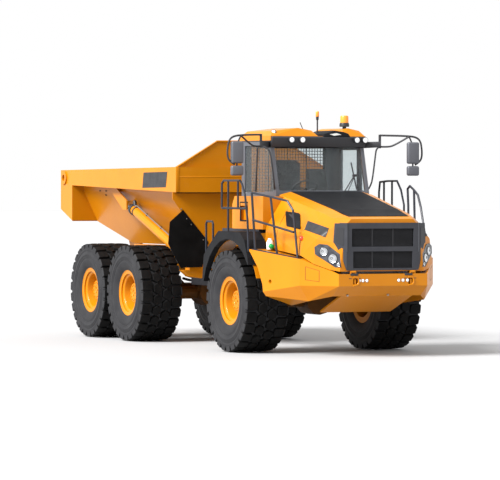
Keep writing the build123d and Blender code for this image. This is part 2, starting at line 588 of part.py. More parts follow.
# Bumper with corner panels, belly guard, tow hooks and the ears of the hood's hinge
BUMPER_REAR = CHASSIS_NOSE - SEAT
corner_x, corner_y = CORNER
foot_x, foot_z = CORNER_FOOT
KNUCKLE = (470, 530)
HOOK_X, HOOK_Z = 470, 1153
pivot_y, pivot_z = HOOD_PIVOT
with BuildPart() as bumper:
    nose_foot = NOSE + 220
    prism_x(
        [
            (NOSE, BUMPER_TOP), (NOSE, BUMPER_CREASE), (nose_foot, BUMPER_FOOT), (BUMPER_REAR, BUMPER_FOOT),
            (BUMPER_REAR, BUMPER_TOP),
        ],
        -NOSE_HALF, NOSE_HALF,
    )
    for side in (LEFT, RIGHT):
        corner_panel = [
            (NOSE_HALF, NOSE, BUMPER_TOP), (NOSE_HALF, NOSE, BUMPER_CREASE), (NOSE_HALF, nose_foot, BUMPER_FOOT),
            (NOSE_HALF, BUMPER_REAR, BUMPER_TOP), (corner_x, corner_y, CORNER_TOP),
            (corner_x, corner_y, BUMPER_CREASE), (foot_x, corner_y, foot_z), (foot_x, corner_y, CORNER_TOP),
        ]
        hull([(side * x, y, z) for x, y, z in corner_panel])
        pocket = sorted((side * (HOOK_X - 45), side * (HOOK_X + 35)))
        block(*pocket, NOSE, NOSE + 60, HOOK_Z - 48, HOOK_Z + 48, Mode.SUBTRACT)
        hook = sorted((side * (HOOK_X - 12), side * (HOOK_X + 12)))
        block(*hook, NOSE + 4, NOSE + 70, HOOK_Z - 36, HOOK_Z + 36)
        shaft((hook[0] - 5, NOSE + 32, HOOK_Z), (hook[1] + 5, NOSE + 32, HOOK_Z), 17, Mode.SUBTRACT, flats=8)
        for x in (KNUCKLE[0] - 3 - 12, KNUCKLE[1] + 3):
            ear = sorted((side * x, side * (x + 12)))
            block(*ear, pivot_y - 18, pivot_y + 18, BUMPER_TOP - 5, pivot_z)
            shaft((ear[0], pivot_y, pivot_z), (ear[1], pivot_y, pivot_z), 19, flats=12)
        pin = sorted((side * (KNUCKLE[0] - 10), side * (KNUCKLE[1] + 10)))
        shaft((pin[0], pivot_y, pivot_z), (pin[1], pivot_y, pivot_z), HOOD_PIN_R)
    prism_x(
        [
            (nose_foot, BUMPER_FOOT), (nose_foot + 2, BUMPER_FOOT + 20), (BUMPER_REAR, BUMPER_FOOT + 20),
            (BUMPER_REAR, BUMPER_FOOT - SEAT), (BUMPER_REAR + 70, BUMPER_FOOT - SEAT), (-1500, 690), (-1500, 660),
        ],
        -600, 600,
    )
keep(bumper, "bumper")


# Side skirts between the bumper and the front wheel arch
def skirt_top(y):
    """Height of the skirt's top at a distance aft."""
    return CORNER_TOP + SKIRT_RISE * (y - corner_y) / (SKIRT_REAR[1] - corner_y)


with BuildPart() as side_skirts:
    skirt_x, skirt_y = SKIRT_REAR
    start_y = corner_y + SEAT
    rear_top = skirt_top(skirt_y)
    corners = [
        (corner_x, start_y, CORNER_TOP), (corner_x, start_y, BUMPER_CREASE), (foot_x, start_y, foot_z),
        (foot_x, start_y, CORNER_TOP), (skirt_x, skirt_y, rear_top), (skirt_x, skirt_y, 930), (850, skirt_y, 720),
        (850, skirt_y, rear_top),
    ]
    for side in (LEFT, RIGHT):
        hull([(side * x, y, z) for x, y, z in corners])
        tie_down = (side * 1200, -1227, 1133), (side * 1400, -1227, 1133)
        shaft(*tie_down, 35, Mode.SUBTRACT, flats=8)
    shaft((-1600, 0, AXLE_Z), (1600, 0, AXLE_Z), ARCH_R, Mode.SUBTRACT, flats=24)
    for step_z in (1020, 1250):
        block(1230, 1600, -1180, -850, step_z, step_z + 150, Mode.SUBTRACT)
keep(side_skirts, "side_skirts")

with BuildPart() as mudguards:
    MUD_OUTLINE = [(-790, 1380), (-765, 1494), (-640, 1760), (-460, MUD_TOP), (350, MUD_TOP), (740, 1633)]
    prism_x(MUD_OUTLINE + [(914, 1499), (975, 1080)] + arch(MUD_ARCH_R, 17, 143, 9), MUD_IN, MUD_OUT)
    mirror(about=Plane.YZ)
keep(mudguards, "mudguards")

with BuildPart() as engine_block:
    block(-400, 400, -1650, -500, FRONT_RAIL[1] + SEAT, 1880)
keep(engine_block, "engine_block")

with BuildPart() as radiator:
    block(-560, 560, -2150, -2030, FRONT_RAIL[1] + SEAT, 1980)
keep(radiator, "radiator")

with BuildPart() as cab_base:
    block(SEAT - MUD_IN, MUD_IN - SEAT, CAB_FRONT - 90, CAB_REAR, DECK_Z, DECK_TOP)
keep(cab_base, "cab_base")

COWL = (1150, -600, 570, 510)
with BuildPart() as side_cowl:
    cowl_x, cowl_front, cowl_rear, cowl_height = COWL
    low, high = DECK_TOP + SEAT, DECK_TOP + cowl_height
    outline = [(cowl_front, low), (cowl_rear, low), (cowl_rear, high - 130), (cowl_rear - 90, high)]
    prism_x(outline + [(cowl_front, high)], -cowl_x, -CAB_HALF - SEAT)
    block(-cowl_x, -cowl_x + 60, -30, 270, low + 120, high - 150, Mode.SUBTRACT)
keep(side_cowl, "side_cowl")

# Hood: faceted shell open below and behind, with the lamps let into its cheeks
HOOD_SECTIONS = (  # distance aft, then half width and height at the top edge, shoulder, waist and lower edge
    (-450, (620, 2500), (800, 2455), (1105, 1980), (1128, 1660)),
    (-1850, (560, 2235), (720, 2180), (1010, 1880), (1090, 1540)),
    (-2120, (545, 2170), (690, 2110), (960, 1790), (1005, 1420)),
    (-2320, (530, 2130), (650, 2060), (748, 1740), (830, 1335)),
    (-2420, (520, 2100), (600, 2020), (645, 1740), (710, 1308)),
)
PANEL_RISE = 8


def hood_corners(distance, corners, inset=0, foot=0):
    """Corners of one front-view section of the hood, drawn in by a wall and let down by foot."""
    points = []
    for i, (x, z) in enumerate(corners):
        height = z - inset if i < 2 else z - (foot if i == 3 else 0)
        points += [(side * (x - inset), distance, height) for side in (LEFT, RIGHT)]
    return points


def hood_body(inset=0, foot=0, shift=0, mode=Mode.ADD):
    """Solid through all sections of the hood, moved forward by shift."""
    rows = [(y - shift, corners) for y, *corners in HOOD_SECTIONS]
    if inset:
        rows = [(rows[0][0] + 60, rows[0][1])] + rows[:-1] + [(rows[-1][0] + inset, rows[-1][1])]
    for (y0, first), (y1, second) in zip(rows, rows[1:]):
        hull(hood_corners(y0, first, inset, foot) + hood_corners(y1, second, inset, foot), mode)


LAMP = [  # corners of the right headlamp on the hood's cheek
    (-982, -2113, 1674), (-922, -2161, 1721), (-828, -2246, 1709), (-686, -2386, 1569), (-678, -2415, 1368),
    (-746, -2355, 1367), (-979, -2127, 1566),
]
LAMP_NORMAL = Vector(-0.661, -0.747, 0.08)


def lamp_unit(side, grow, depth, proud, mode=Mode.ADD):
    """Headlamp block through the cheek, larger by grow."""
    origin = Vector(*LAMP[0][:1], aft(LAMP[0][1]), LAMP[0][2])
    plane = Plane(origin=origin, x_dir=Vector(0.747, -0.661, 0), z_dir=LAMP_NORMAL)
    local = [plane.to_local_coords(Vector(x, aft(y), z)) for x, y, z in LAMP]
    with BuildSketch(plane.offset(-depth)) as face:
        Polygon(*[(p.X, p.Y) for p in local], align=None)
        if grow:
            offset(amount=grow, kind=Kind.INTERSECTION)
    solid = extrude(face.sketch, amount=depth + proud, mode=Mode.PRIVATE)
    add(solid if side == RIGHT else solid.mirror(Plane.YZ), mode=mode)


GRILLE_X, GRILLE_Z = 530, (1350, 1965)
with BuildPart() as hood_shell:
    hood_body()
    hood_body(HOOD_WALL, 60, mode=Mode.SUBTRACT)
    block(-GRILLE_X, GRILLE_X, -2500, -2380, *GRILLE_Z, Mode.SUBTRACT)
    for side in (LEFT, RIGHT):
        behind = sorted((side * (CAB_HALF - 5), side * 1300))
        block(*behind, COWL[1] - 6, -400, 1500, 2600, Mode.SUBTRACT)
        lamp_unit(side, SEAT, 150, 60, Mode.SUBTRACT)
        knuckle = sorted((side * KNUCKLE[0], side * KNUCKLE[1]))
        shaft((knuckle[0], pivot_y, pivot_z), (knuckle[1], pivot_y, pivot_z), KNUCKLE_R, flats=12)
        block(*knuckle, pivot_y, -2420 + HOOD_WALL, pivot_z - 5, pivot_z + KNUCKLE_R)
        bore_ends = (knuckle[0] - 5, pivot_y, pivot_z), (knuckle[1] + 5, pivot_y, pivot_z)
        shaft(*bore_ends, HOOD_PIN_R + RUNNING, Mode.SUBTRACT)
keep(hood_shell, "hood_shell")

with BuildPart() as headlamps:
    for side in (LEFT, RIGHT):
        lamp_unit(side, 0, 60, 18)
keep(headlamps, "headlamps")

with BuildPart() as hood_panel:
    stations = [(y, corners[0][0] - 18, corners[0][1]) for y, *corners in HOOD_SECTIONS[:3]] + [(-2300, 505, 2134)]
    for first, second in zip(stations, stations[1:]):
        hull(
            [
                (side * half, y, z + rise)
                for y, half, z in (first, second)
                for side in (LEFT, RIGHT)
                for rise in (SEAT, PANEL_RISE)
            ]
        )
keep(hood_panel, "hood_panel")

# Grille surround across the hood's nose, and the slatted panel behind it
TRIM_OUTLINE = [(660, 2040), (755, 1740), (600, pivot_z + KNUCKLE_R + 4)]
with BuildPart() as hood_trim:
    right = [(-x, z) for x, z in TRIM_OUTLINE]
    prism_y(right + [(x, z) for x, z in reversed(TRIM_OUTLINE)], -2465, -2280)
    bow = [(-780, -2330), (-610, -2452), (610, -2452), (780, -2330)]
    prism_z(bow + [(780, -2250), (-780, -2250)], 1200, 2100, Mode.INTERSECT)
    hood_body(shift=SEAT, mode=Mode.SUBTRACT)
    block(-800, 800, -2400, -2250, 1250, 1420, Mode.SUBTRACT)
    block(-520, 520, -2500, -2250, 1683, 1953, Mode.SUBTRACT)
    block(-500, 500, -2500, -2250, 1358, 1609, Mode.SUBTRACT)
keep(hood_trim, "hood_trim")

with BuildPart() as grille:
    panel = GRILLE_X - SEAT
    block(-panel, panel, -2412, -2396, GRILLE_Z[0] + SEAT, GRILLE_Z[1] - SEAT)
    for i in range(5):
        for low in (1375, 1700):
            z = low + i * 48
            block(-panel + 10, panel - 10, -2419, -2410, z, z + 22)
keep(grille, "grille")

# Cab: hollow shell with its windows cut, roof, glass, door
ROOF_EDGE = 20
CAB_SIDE = [
    (CAB_FRONT, CAB_FLOOR), (CAB_FRONT, SILL), (CAB_FRONT_TOP, CAB_TOP), (CAB_REAR, CAB_TOP), (CAB_REAR, CAB_FLOOR),
]
CAB_INSIDE = [
    (CAB_FRONT + CAB_WALL, CAB_FLOOR + CAB_WALL), (CAB_FRONT + CAB_WALL, SILL - 5),
    (CAB_FRONT_TOP + CAB_WALL, CAB_TOP - CAB_WALL), (CAB_REAR - CAB_WALL, CAB_TOP - CAB_WALL),
    (CAB_REAR - CAB_WALL, CAB_FLOOR + CAB_WALL),
]


def screen_y(z, depth=0):
    """Distance aft of the windscreen's face at a height."""
    return CAB_FRONT + SCREEN_LEAN * (z - SILL) / (CAB_TOP - SILL) + depth


WINDOW_LOW, WINDOW_HIGH = SILL + 30, CAB_TOP - 80
PILLAR, REAR_PILLAR = 60, 150
SIDE_WINDOW = (80, 860)
SCREEN_TO = 300
DOOR_Z = (CAB_FLOOR + DOOR_SILL, CAB_TOP - DOOR_HEAD)
HINGE_X, HINGE_R, HINGE_PIN_R = CAB_HALF + 14, 14, 8
HINGE_Z = (DOOR_Z[0] + 150, DOOR_Z[1] - 250)
HINGE_HEIGHT = 90
with BuildPart() as cab_shell:
    prism_x(CAB_SIDE, -CAB_HALF, CAB_HALF)
    prism_x(CAB_INSIDE, -CAB_HALF + CAB_WALL, CAB_HALF - CAB_WALL, Mode.SUBTRACT)
    block(PILLAR - CAB_HALF, CAB_HALF - PILLAR, CAB_FRONT - 50, SCREEN_TO, WINDOW_LOW, WINDOW_HIGH, Mode.SUBTRACT)
    back = CAB_HALF - REAR_PILLAR
    block(-back, back, DOOR_REAR, CAB_REAR + 50, SILL - 100, WINDOW_HIGH, Mode.SUBTRACT)
    block(-CAB_HALF - 50, -CAB_HALF + 200, *SIDE_WINDOW, SILL, WINDOW_HIGH, Mode.SUBTRACT)
    block(CAB_HALF - 200, CAB_HALF + 50, DOOR_FRONT, DOOR_REAR, *DOOR_Z, Mode.SUBTRACT)
    for z in HINGE_Z:
        for low in (z - 16, z + HINGE_HEIGHT + 1):
            block(CAB_HALF - 5, HINGE_X + HINGE_R, DOOR_REAR, DOOR_REAR + 50, low, low + 15)
            shaft((HINGE_X, DOOR_REAR, low), (HINGE_X, DOOR_REAR, low + 15), HINGE_R, flats=12)
        shaft((HINGE_X, DOOR_REAR, z - 10), (HINGE_X, DOOR_REAR, z + HINGE_HEIGHT + 10), HINGE_PIN_R)
keep(cab_shell, "cab_shell")

with BuildPart() as cab_glass:
    pane = [
        (screen_y(z, depth), z + SEAT * sign)
        for z, sign, depth in (
            (WINDOW_LOW, 1, 10), (WINDOW_HIGH, -1, 10), (WINDOW_HIGH, -1, 10 + GLASS), (WINDOW_LOW, 1, 10 + GLASS)
        )
    ]
    prism_x(pane, PILLAR - CAB_HALF + SEAT, CAB_HALF - PILLAR - SEAT)
    pane_y = CAB_REAR - 20
    block(-back + SEAT, back - SEAT, pane_y - GLASS, pane_y, SILL - 100 + SEAT, WINDOW_HIGH - SEAT)
    low_y, high_y = SIDE_WINDOW
    block(15 - CAB_HALF, 15 - CAB_HALF + GLASS, low_y + SEAT, high_y - SEAT, SILL + SEAT, WINDOW_HIGH - SEAT)
keep(cab_glass, "cab_glass")

# Roof: a slab with two humps and a hatch between them
ROOF_Z = CAB_TOP + ROOF_THICK
ROOF_TOP = ROOF_Z + ROOF_HUMP
HUMPS = (  # outer and inner foot, outer, crown and inner top as x, then the outer and inner top's drop
    (-820, 0, -750, -310, -80, 50, 40),
    (820, 400, 750, 560, 470, 40, 20),
)
with BuildPart() as cab_roof:
    wide = CAB_HALF + ROOF_EDGE
    slab_front, slab_rear = CAB_FRONT_TOP - 60, CAB_REAR + 30
    block(-wide, wide, slab_front, slab_rear, CAB_TOP + SEAT, ROOF_Z)
    for foot_out, foot_in, top_out, crown, top_in, drop_out, drop_in in HUMPS:
        ridge = [(top_out, ROOF_TOP - drop_out), (crown, ROOF_TOP), (top_in, ROOF_TOP - drop_in)]
        hull(
            [(x, y, ROOF_Z - 5) for x in (foot_out, foot_in) for y in (slab_front, slab_rear)]
            + [(x, y, z) for x, z in ridge for y in (slab_front + 90, slab_rear - 120)]
        )
keep(cab_roof, "cab_roof")

with BuildPart() as roof_fittings:
    hatch = [(20, ROOF_Z + SEAT), (380, ROOF_Z + SEAT), (340, ROOF_Z + 58), (60, ROOF_Z + 58)]
    prism_y(hatch, slab_front + 20, 500)
    for x in (-434, -255, 668, 790):
        shaft((x, slab_front - 45, CAB_TOP + 25), (x, slab_front - SEAT, CAB_TOP + 25), 38, flats=12)
    shaft((200, 300, ROOF_Z + 30), (200, 300, ROOF_TOP + 270), 8, flats=6)
    shaft((530, 50, ROOF_TOP - 20), (530, 50, ROOF_TOP + 30), 25, flats=8)
    shaft((530, 50, ROOF_TOP + 30), (530, 50, ROOF_TOP + 70), 80, flats=12)
    add(cab_roof.part, mode=Mode.SUBTRACT)
keep(roof_fittings, "roof_fittings")

with BuildPart() as beacon:
    base = ROOF_TOP + 70 + SEAT
    lens_rings = []
    for height, radius in ((0, 74), (100, 70), (140, 50)):
        with BuildSketch(Plane(origin=(530, aft(50), base + height))) as ring:
            RegularPolygon(radius, 12)
        lens_rings.append(ring.sketch)
    loft(lens_rings, ruled=True)
keep(beacon, "beacon")

with BuildPart() as door:
    door_in, door_out = CAB_HALF - 40, CAB_HALF
    low_y, high_y = DOOR_FRONT + DOOR_CLEAR, DOOR_REAR - DOOR_CLEAR
    block(door_in, door_out, low_y, high_y, DOOR_Z[0] + DOOR_CLEAR, DOOR_Z[1] - DOOR_CLEAR)
    frame_y = DOOR_FRONT + 80, DOOR_REAR - 80
    frame_z = SILL - 200, DOOR_Z[1] - 80
    block(CAB_HALF - 60, CAB_HALF + 20, *frame_y, *frame_z, Mode.SUBTRACT)
    for z in HINGE_Z:
        block(CAB_HALF - 5, CAB_HALF + 8, DOOR_REAR - 70, DOOR_REAR - 8, z, z + HINGE_HEIGHT)
        shaft((HINGE_X, DOOR_REAR, z), (HINGE_X, DOOR_REAR, z + HINGE_HEIGHT), HINGE_R, flats=12)
        bore_ends = (HINGE_X, DOOR_REAR, z - 5), (HINGE_X, DOOR_REAR, z + HINGE_HEIGHT + 5)
        shaft(*bore_ends, HINGE_PIN_R + RUNNING, Mode.SUBTRACT)
keep(door, "door")

with BuildPart() as door_glass:
    pane_x = CAB_HALF - 30
    block(
        pane_x, pane_x + GLASS, frame_y[0] + SEAT, frame_y[1] - SEAT, frame_z[0] + SEAT, frame_z[1] - SEAT,
    )
keep(door_glass, "door_glass")

# Guard bars over the rear window
with BuildPart() as cab_guard:
    guard_y = CAB_REAR + SEAT
    low, high = SILL - 60, WINDOW_HIGH + 10
    block(-back, back, guard_y, guard_y + 20, low, high)
    block(-back + 25, back - 25, guard_y - 1, guard_y + 21, low + 25, high - 25, Mode.SUBTRACT)
    for i in range(1, 4):
        x = between(-back, back, i / 4)
        block(x - 6, x + 6, guard_y + 4, guard_y + 16, low + 20, high - 20)
keep(cab_guard, "cab_guard")

# Inside the cab: driver's and trainer's seats, and the dash with its column
CABIN_FLOOR = CAB_FLOOR + CAB_WALL + SEAT
SEATS = (  # middle, half width, front, rear and height of the back
    (-120, 240, 420, 900, 3000),
    (430, 180, 520, 900, 2860),
)
with BuildPart() as seats:
    for middle, half, front, rear, top in SEATS:
        cushion = CABIN_FLOOR + 430
        block(middle - half + 60, middle + half - 60, front + 60, rear - 60, CABIN_FLOOR, cushion - 90)
        base = [
            (front, cushion - 20), (front + 40, cushion - 100), (rear - 60, cushion), (rear - 60, cushion - 100),
        ]
        hull([(middle + s * half, y, z) for s in (LEFT, RIGHT) for y, z in base])
        back_low = cushion - 40
        hull(
            [(middle + s * half, y, back_low) for s in (LEFT, RIGHT) for y in (rear - 190, rear - 60)]
            + [(middle + s * (half - 40), y, top) for s in (LEFT, RIGHT) for y in (rear - 110, rear - 10)]
        )
keep(seats, "seats")

with BuildPart() as dash:
    dash_in = CAB_FRONT + CAB_WALL + SEAT
    dash_low = CABIN_FLOOR + 200
    dash_half = CAB_HALF - CAB_WALL - 40
    prism_x(
        [
            (dash_in, dash_low), (dash_in, SILL - 10), (dash_in + 120, SILL - 10), (dash_in + 200, SILL - 90),
            (dash_in + 140, dash_low),
        ],
        -dash_half, dash_half,
    )
    shaft((-120, dash_in + 160, SILL - 120), (-120, dash_in + 330, SILL + 50), 30, flats=8)
    block(-dash_half, dash_half, dash_in, dash_in + 40, CABIN_FLOOR, dash_low)
keep(dash, "dash")


# Handrails round the platforms, with their foot plates
def mud_top(y):
    """Height of the mudguard's outer face at a distance aft."""
    line = MUD_OUTLINE + [(914, 1499)]
    for (y0, z0), (y1, z1) in zip(line, line[1:]):
        if y0 <= y <= y1:
            return between(z0, z1, (y - y0) / (y1 - y0)) + SEAT


def skirt_edge(y):
    """Half width over the skirts' outer edge at a distance aft."""
    return between(corner_x, skirt_x, (y - corner_y) / (skirt_y - corner_y))


def skirt_foot(x, y):
    """Point on the foot plate along the skirt's top."""
    return (x, y, skirt_top(y) + 10)


FRONT_RAILS = (  # right front rail, its posts and its middle rail
    [
        (-1410, -749, 2490), (-1286, -1176, 2428), (-1176, -1554, 2366), (-1141, -1676, 2227),
        (-1126, -1726, 1897), skirt_foot(-1130, -1820),
    ],
    [(-1410, -749, 2490), skirt_foot(-1387, -830)],
    [(-1286, -1176, 2428), skirt_foot(-1244, -1322)],
    [(-1401, -779, 2069), (-1267, -1240, 1982), (-1135, -1695, 1892)],
)
LEFT_FRONT_RAILS = (
    [
        (1400, -520, mud_top(-520)), (1420, -480, 2277), (1430, -435, 2544), (1425, -523, 2592),
        (1410, -697, 2529),
        (1380, -890, 2452), (1360, -1030, 2266), (1300, -1297, 1832), skirt_foot(1236, -1450),
    ],
    [(1410, -697, 2529), (1390, -760, 2091), skirt_foot(1370, -830)],
)
REAR_RAILS = (  # x, then points as distance aft and height
    (
        -1450,
        [
            (296, 2245), (296, 2630), (216, 2674), (-396, 2675), (-472, 2622), (-586, 2452), (-681, 2068),
            (-724, mud_top(-724)),
        ],
    ),
    (-1450, [(296, 2245), (-620, 2245)]),
    (-1450, [(52, mud_top(52)), (52, 2674)]),
    (-1450, [(-321, 2245), (-321, 2674)]),
    (-1470, [(860, mud_top(860)), (860, 1990), (830, 2030), (620, 2030), (590, 1990), (590, mud_top(590))]),
    (
        1450,
        [
            (624, mud_top(624)), (624, 2492), (589, 2652), (301, 2669), (-20, 2670), (-162, 2527), (-269, 2290),
            (-269, mud_top(-269)),
        ],
    ),
    (1450, [(444, mud_top(444)), (444, 2655)]),
    (1450, [(157, mud_top(157)), (157, 2665)]),
)
with BuildPart() as handrails:
    for path in FRONT_RAILS + LEFT_FRONT_RAILS:
        tube(path, RAIL_TUBE_R)
    for x, path in REAR_RAILS:
        tube([(x, y, z) for y, z in path], RAIL_TUBE_R)
    for side, ends in ((RIGHT, (-1860, -790)), (LEFT, (-1500, -790))):
        hull(
            [
                (side * (skirt_edge(y) - inset), y, skirt_top(y) + z)
                for y in ends
                for inset in (5, 60)
                for z in (SEAT, 12)
            ]
        )
    for neighbour in (mudguards, side_skirts):
        add(neighbour.part, mode=Mode.SUBTRACT)
keep(handrails, "handrails")

# Mirrors: a bracket and post at each front corner of the roof, with arms that carry two heads
HEAD = (1520, -435, 105, 40)
MIRROR_ARMS = (
    ([(1030, -250, 3185), (1030, -250, 3400)], 22),
    (
        [
            (1030, -250, 3385), (1450, -435, 3375), (1600, -435, 3350), (1655, -435, 3300), (1686, -435, 3060),
            (1640, -435, 2985), (1560, -435, 2925),
        ],
        ARM_R,
    ),
    ([(1030, -250, 3210), (1200, -320, 3200), (1450, -435, 3368)], ARM_R),
    ([(1450, -435, 3370), (1500, -435, 3275)], ARM_R),
    ([(1520, -435, 2950), (1520, -435, 2895)], ARM_R),
    ([(1030, -250, 3215), (909, -350, 3170), (849, -350, 2640), (800, -290, 2540)], ARM_R),
)
with BuildPart() as mirrors:
    head_x, head_y, head_half, head_deep = HEAD
    for low, high in ((2940, 3280), (2753, 2905)):
        hull(
            [
                (head_x + s * (head_half - bevel), head_y + y, z)
                for s in (LEFT, RIGHT)
                for y, bevel in ((-head_deep, 25), (0, 0), (head_deep, 0))
                for z in (low + bevel, high - bevel)
            ]
        )
    for points, radius in MIRROR_ARMS:
        tube(points, radius)
    root_y, root_z = CAB_FRONT_TOP + 20, CAB_TOP - 120
    hull(
        [(CAB_HALF + SEAT, y, z) for y in (root_y, root_y + 80) for z in (root_z, root_z + 100)]
        + [(1030, y, z) for y in (-262, -238) for z in (3200, 3290)]
    )
    add(cab_shell.part, mode=Mode.SUBTRACT)
    mirror(about=Plane.YZ)
keep(mirrors, "mirrors")
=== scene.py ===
"""Looks of the six-wheel articulated dump truck: finishes for its CAD pieces, fitted detail, and the studio."""

import json
from math import cos, pi, radians, sin

import bpy
from bpy.props import FloatProperty, FloatVectorProperty, IntProperty, PointerProperty
from bpy.types import Operator, Panel, PropertyGroup
from mathutils import Matrix, Vector


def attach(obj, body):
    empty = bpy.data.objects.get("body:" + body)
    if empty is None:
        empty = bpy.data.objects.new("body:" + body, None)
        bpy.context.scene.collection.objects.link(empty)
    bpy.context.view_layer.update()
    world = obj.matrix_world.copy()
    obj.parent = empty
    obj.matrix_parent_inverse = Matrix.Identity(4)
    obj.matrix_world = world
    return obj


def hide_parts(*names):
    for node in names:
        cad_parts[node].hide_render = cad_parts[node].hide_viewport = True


bl_info = {
    "name": "Articulated Dump Truck Looks",
    "version": (1, 0, 0),
    "blender": (4, 5, 0),
    "location": "View3D > Sidebar > Truck",
    "description": "Finishes and fitted detail for an articulated dump truck",
    "category": "Object",
}

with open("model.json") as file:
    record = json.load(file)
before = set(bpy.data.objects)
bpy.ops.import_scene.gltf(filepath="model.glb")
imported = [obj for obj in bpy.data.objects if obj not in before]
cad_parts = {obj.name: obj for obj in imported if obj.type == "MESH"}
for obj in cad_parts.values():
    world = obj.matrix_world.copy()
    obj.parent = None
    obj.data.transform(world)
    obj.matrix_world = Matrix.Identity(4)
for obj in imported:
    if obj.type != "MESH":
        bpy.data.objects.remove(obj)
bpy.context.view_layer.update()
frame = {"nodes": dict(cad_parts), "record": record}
LEFT, RIGHT = 1, -1
FRONT_AXLE_Y = -2.5075
TRACK_HALF, AXLE_Z = 1.145, 0.8
WHEELS = tuple(  # name, side, distance behind the front axle
    (f"{row}_{name}", side, distance)
    for row, distance in (("front", 0.0), ("middle", 4.181), ("rear", 5.851))
    for name, side in (("right", RIGHT), ("left", LEFT))
)


def aft(distance):
    """Y of a place this far behind the front axle."""
    return FRONT_AXLE_Y + distance


def at(x, distance, z):
    """Point given as x, distance behind the front axle and z."""
    return Vector((x, aft(distance), z))


def colour_prop(name, description, default):
    """Colour that a user may change."""
    return FloatVectorProperty(
        name=name, description=description, subtype="COLOR", size=3, min=0, max=1, default=default,
    )


class TruckPaint(PropertyGroup):
    """Colours of the truck."""

    body: colour_prop("Body", "Main paint", (0.5, 0.168, 0.0015))
    faded: colour_prop("Lit body", "Main paint where it is a shade lighter", (0.53, 0.185, 0.002))
    rails: colour_prop("Rails", "Blue-grey paint of the rails and cab frames", (0.0125, 0.0145, 0.0225))
    cab: colour_prop("Cab", "Grey paint of the cab body, its door and the mirrors", (0.102, 0.1059, 0.1216))
    plastic: colour_prop("Plastic", "Moulded mudguards and covers", (0.008, 0.0083, 0.0098))
    black: colour_prop("Black", "Grille, flaps and guards", (0.003, 0.0028, 0.0028))
    # black of small fittings, also used for painted shade in the rims' grooves and the bumper's slots
    trim: colour_prop("Trim", "Small black fittings", (0.0314, 0.0314, 0.0353))
    rubber: colour_prop("Tread", "Tread rubber", (0.0026, 0.0024, 0.0024))
    sidewall: colour_prop("Sidewall", "Side rubber", (0.018, 0.018, 0.02))
    lens: colour_prop("Beacon", "Orange lens", (0.949, 0.298, 0.0314))


class TruckStudio(PropertyGroup):
    """Floor and light."""

    floor: colour_prop("Floor", "Pale floor", (0.42, 0.42, 0.423))
    key: FloatProperty(name="Key light", description="Strength of the soft key light", default=7.3, min=0)
    fill: FloatProperty(name="Fill light", description="Strength of the light all round", default=1.0, min=0)


class TruckTyre(PropertyGroup):
    """Tyre and rim."""

    blocks: IntProperty(name="Blocks", description="Tread blocks round each column", default=26, min=8)
    block_top: FloatProperty(
        name="Block top", description="Radius of the blocks' tops", default=0.792, min=0, unit="LENGTH",
    )
    segments: IntProperty(name="Segments", description="Steps round the casing", default=96, min=24)


# Modelling helpers
def clear():
    """Deselect everything, so that operators act on the new piece alone."""
    bpy.ops.object.select_all(action="DESELECT")


def pick(piece):
    """Select one piece and make it active."""
    clear()
    piece.select_set(True)
    bpy.context.view_layer.objects.active = piece


def edit(piece, step):
    """Run an edit-mode step on all of a piece."""
    pick(piece)
    bpy.ops.object.mode_set(mode="EDIT")
    bpy.ops.mesh.select_all(action="SELECT")
    step()
    bpy.ops.object.mode_set(mode="OBJECT")
    return piece


def settle():
    """Put the new piece's place into its mesh."""
    bpy.ops.object.transform_apply(location=True, rotation=True, scale=True)
    return bpy.context.object


def rounded(piece, width, segments=2):
    """Bevel every edge of a piece, where a width is given."""
    if not width:
        return piece
    return edit(piece, lambda: bpy.ops.mesh.bevel(offset=width, segments=segments, affect="EDGES"))


def block(low, high, bevel=0.0, segments=2):
    """Box between two corners, with bevelled edges."""
    clear()
    middle = [(a + b) / 2 for a, b in zip(low, high)]
    bpy.ops.mesh.primitive_cube_add(size=1, location=middle, scale=[b - a for a, b in zip(low, high)])
    return rounded(settle(), bevel, segments)


def rod(start, end, radius, sides=16, tip=None, bevel=0.0):
    """Bar between two points, tapered to a tip radius where one is given."""
    start, end = Vector(start), Vector(end)
    clear()
    bpy.ops.mesh.primitive_cone_add(
        vertices=sides, radius1=radius, radius2=radius if tip is None else tip, depth=(end - start).length,
        location=(start + end) / 2, rotation=(end - start).to_track_quat("Z", "Y").to_euler(),
    )
    return rounded(settle(), bevel)


def cut(piece, place, outward):
    """Cut away what lies beyond a plane and close the cut."""
    return edit(
        piece,
        lambda: bpy.ops.mesh.bisect(plane_co=place, plane_no=outward, use_fill=True, clear_outer=True),
    )


def turned(profile, segments, closed=False):
    """Body turned about X through its profile of (across, radius) rings."""
    (x, r), *rest = profile
    clear()
    bpy.ops.mesh.primitive_circle_add(vertices=segments, radius=r, location=(x, 0, 0), rotation=(0, pi / 2, 0))
    piece = settle()

    def run():
        across, radius = x, r
        for x1, r1 in rest + ([profile[0]] if closed else []):
            bpy.ops.mesh.extrude_region_move(TRANSFORM_OT_translate={"value": (x1 - across, 0, 0)})
            bpy.ops.transform.resize(value=(1, r1 / radius, r1 / radius), center_override=(x1, 0, 0))
            across, radius = x1, r1
        bpy.ops.mesh.select_all(action="SELECT")
        bpy.ops.mesh.remove_doubles(threshold=0.00002)
        if not closed:
            bpy.ops.mesh.fill_holes(sides=0)
        bpy.ops.mesh.select_all(action="SELECT")
        bpy.ops.mesh.normals_make_consistent(inside=False)

    return edit(piece, run)


def moved(piece, matrix):
    """Move a piece's mesh and keep its faces pointing outwards."""
    piece.data.transform(matrix)
    if matrix.determinant() < 0:
        piece.data.flip_normals()
    return piece


def turned_at(profile, segments, place, turn):
    """Turned body set at a place with its axis turned."""
    return moved(turned(profile, segments), Matrix.Translation(place) @ turn)


def facing(direction):
    """Turn that takes X to a direction."""
    return direction.to_track_quat("X", "Z").to_matrix().to_4x4()


def copy_of(piece, matrix):
    """Copy with its own mesh, moved by a matrix."""
    twin = piece.copy()
    twin.data = piece.data.copy()
    bpy.context.collection.objects.link(twin)
    return moved(twin, matrix)


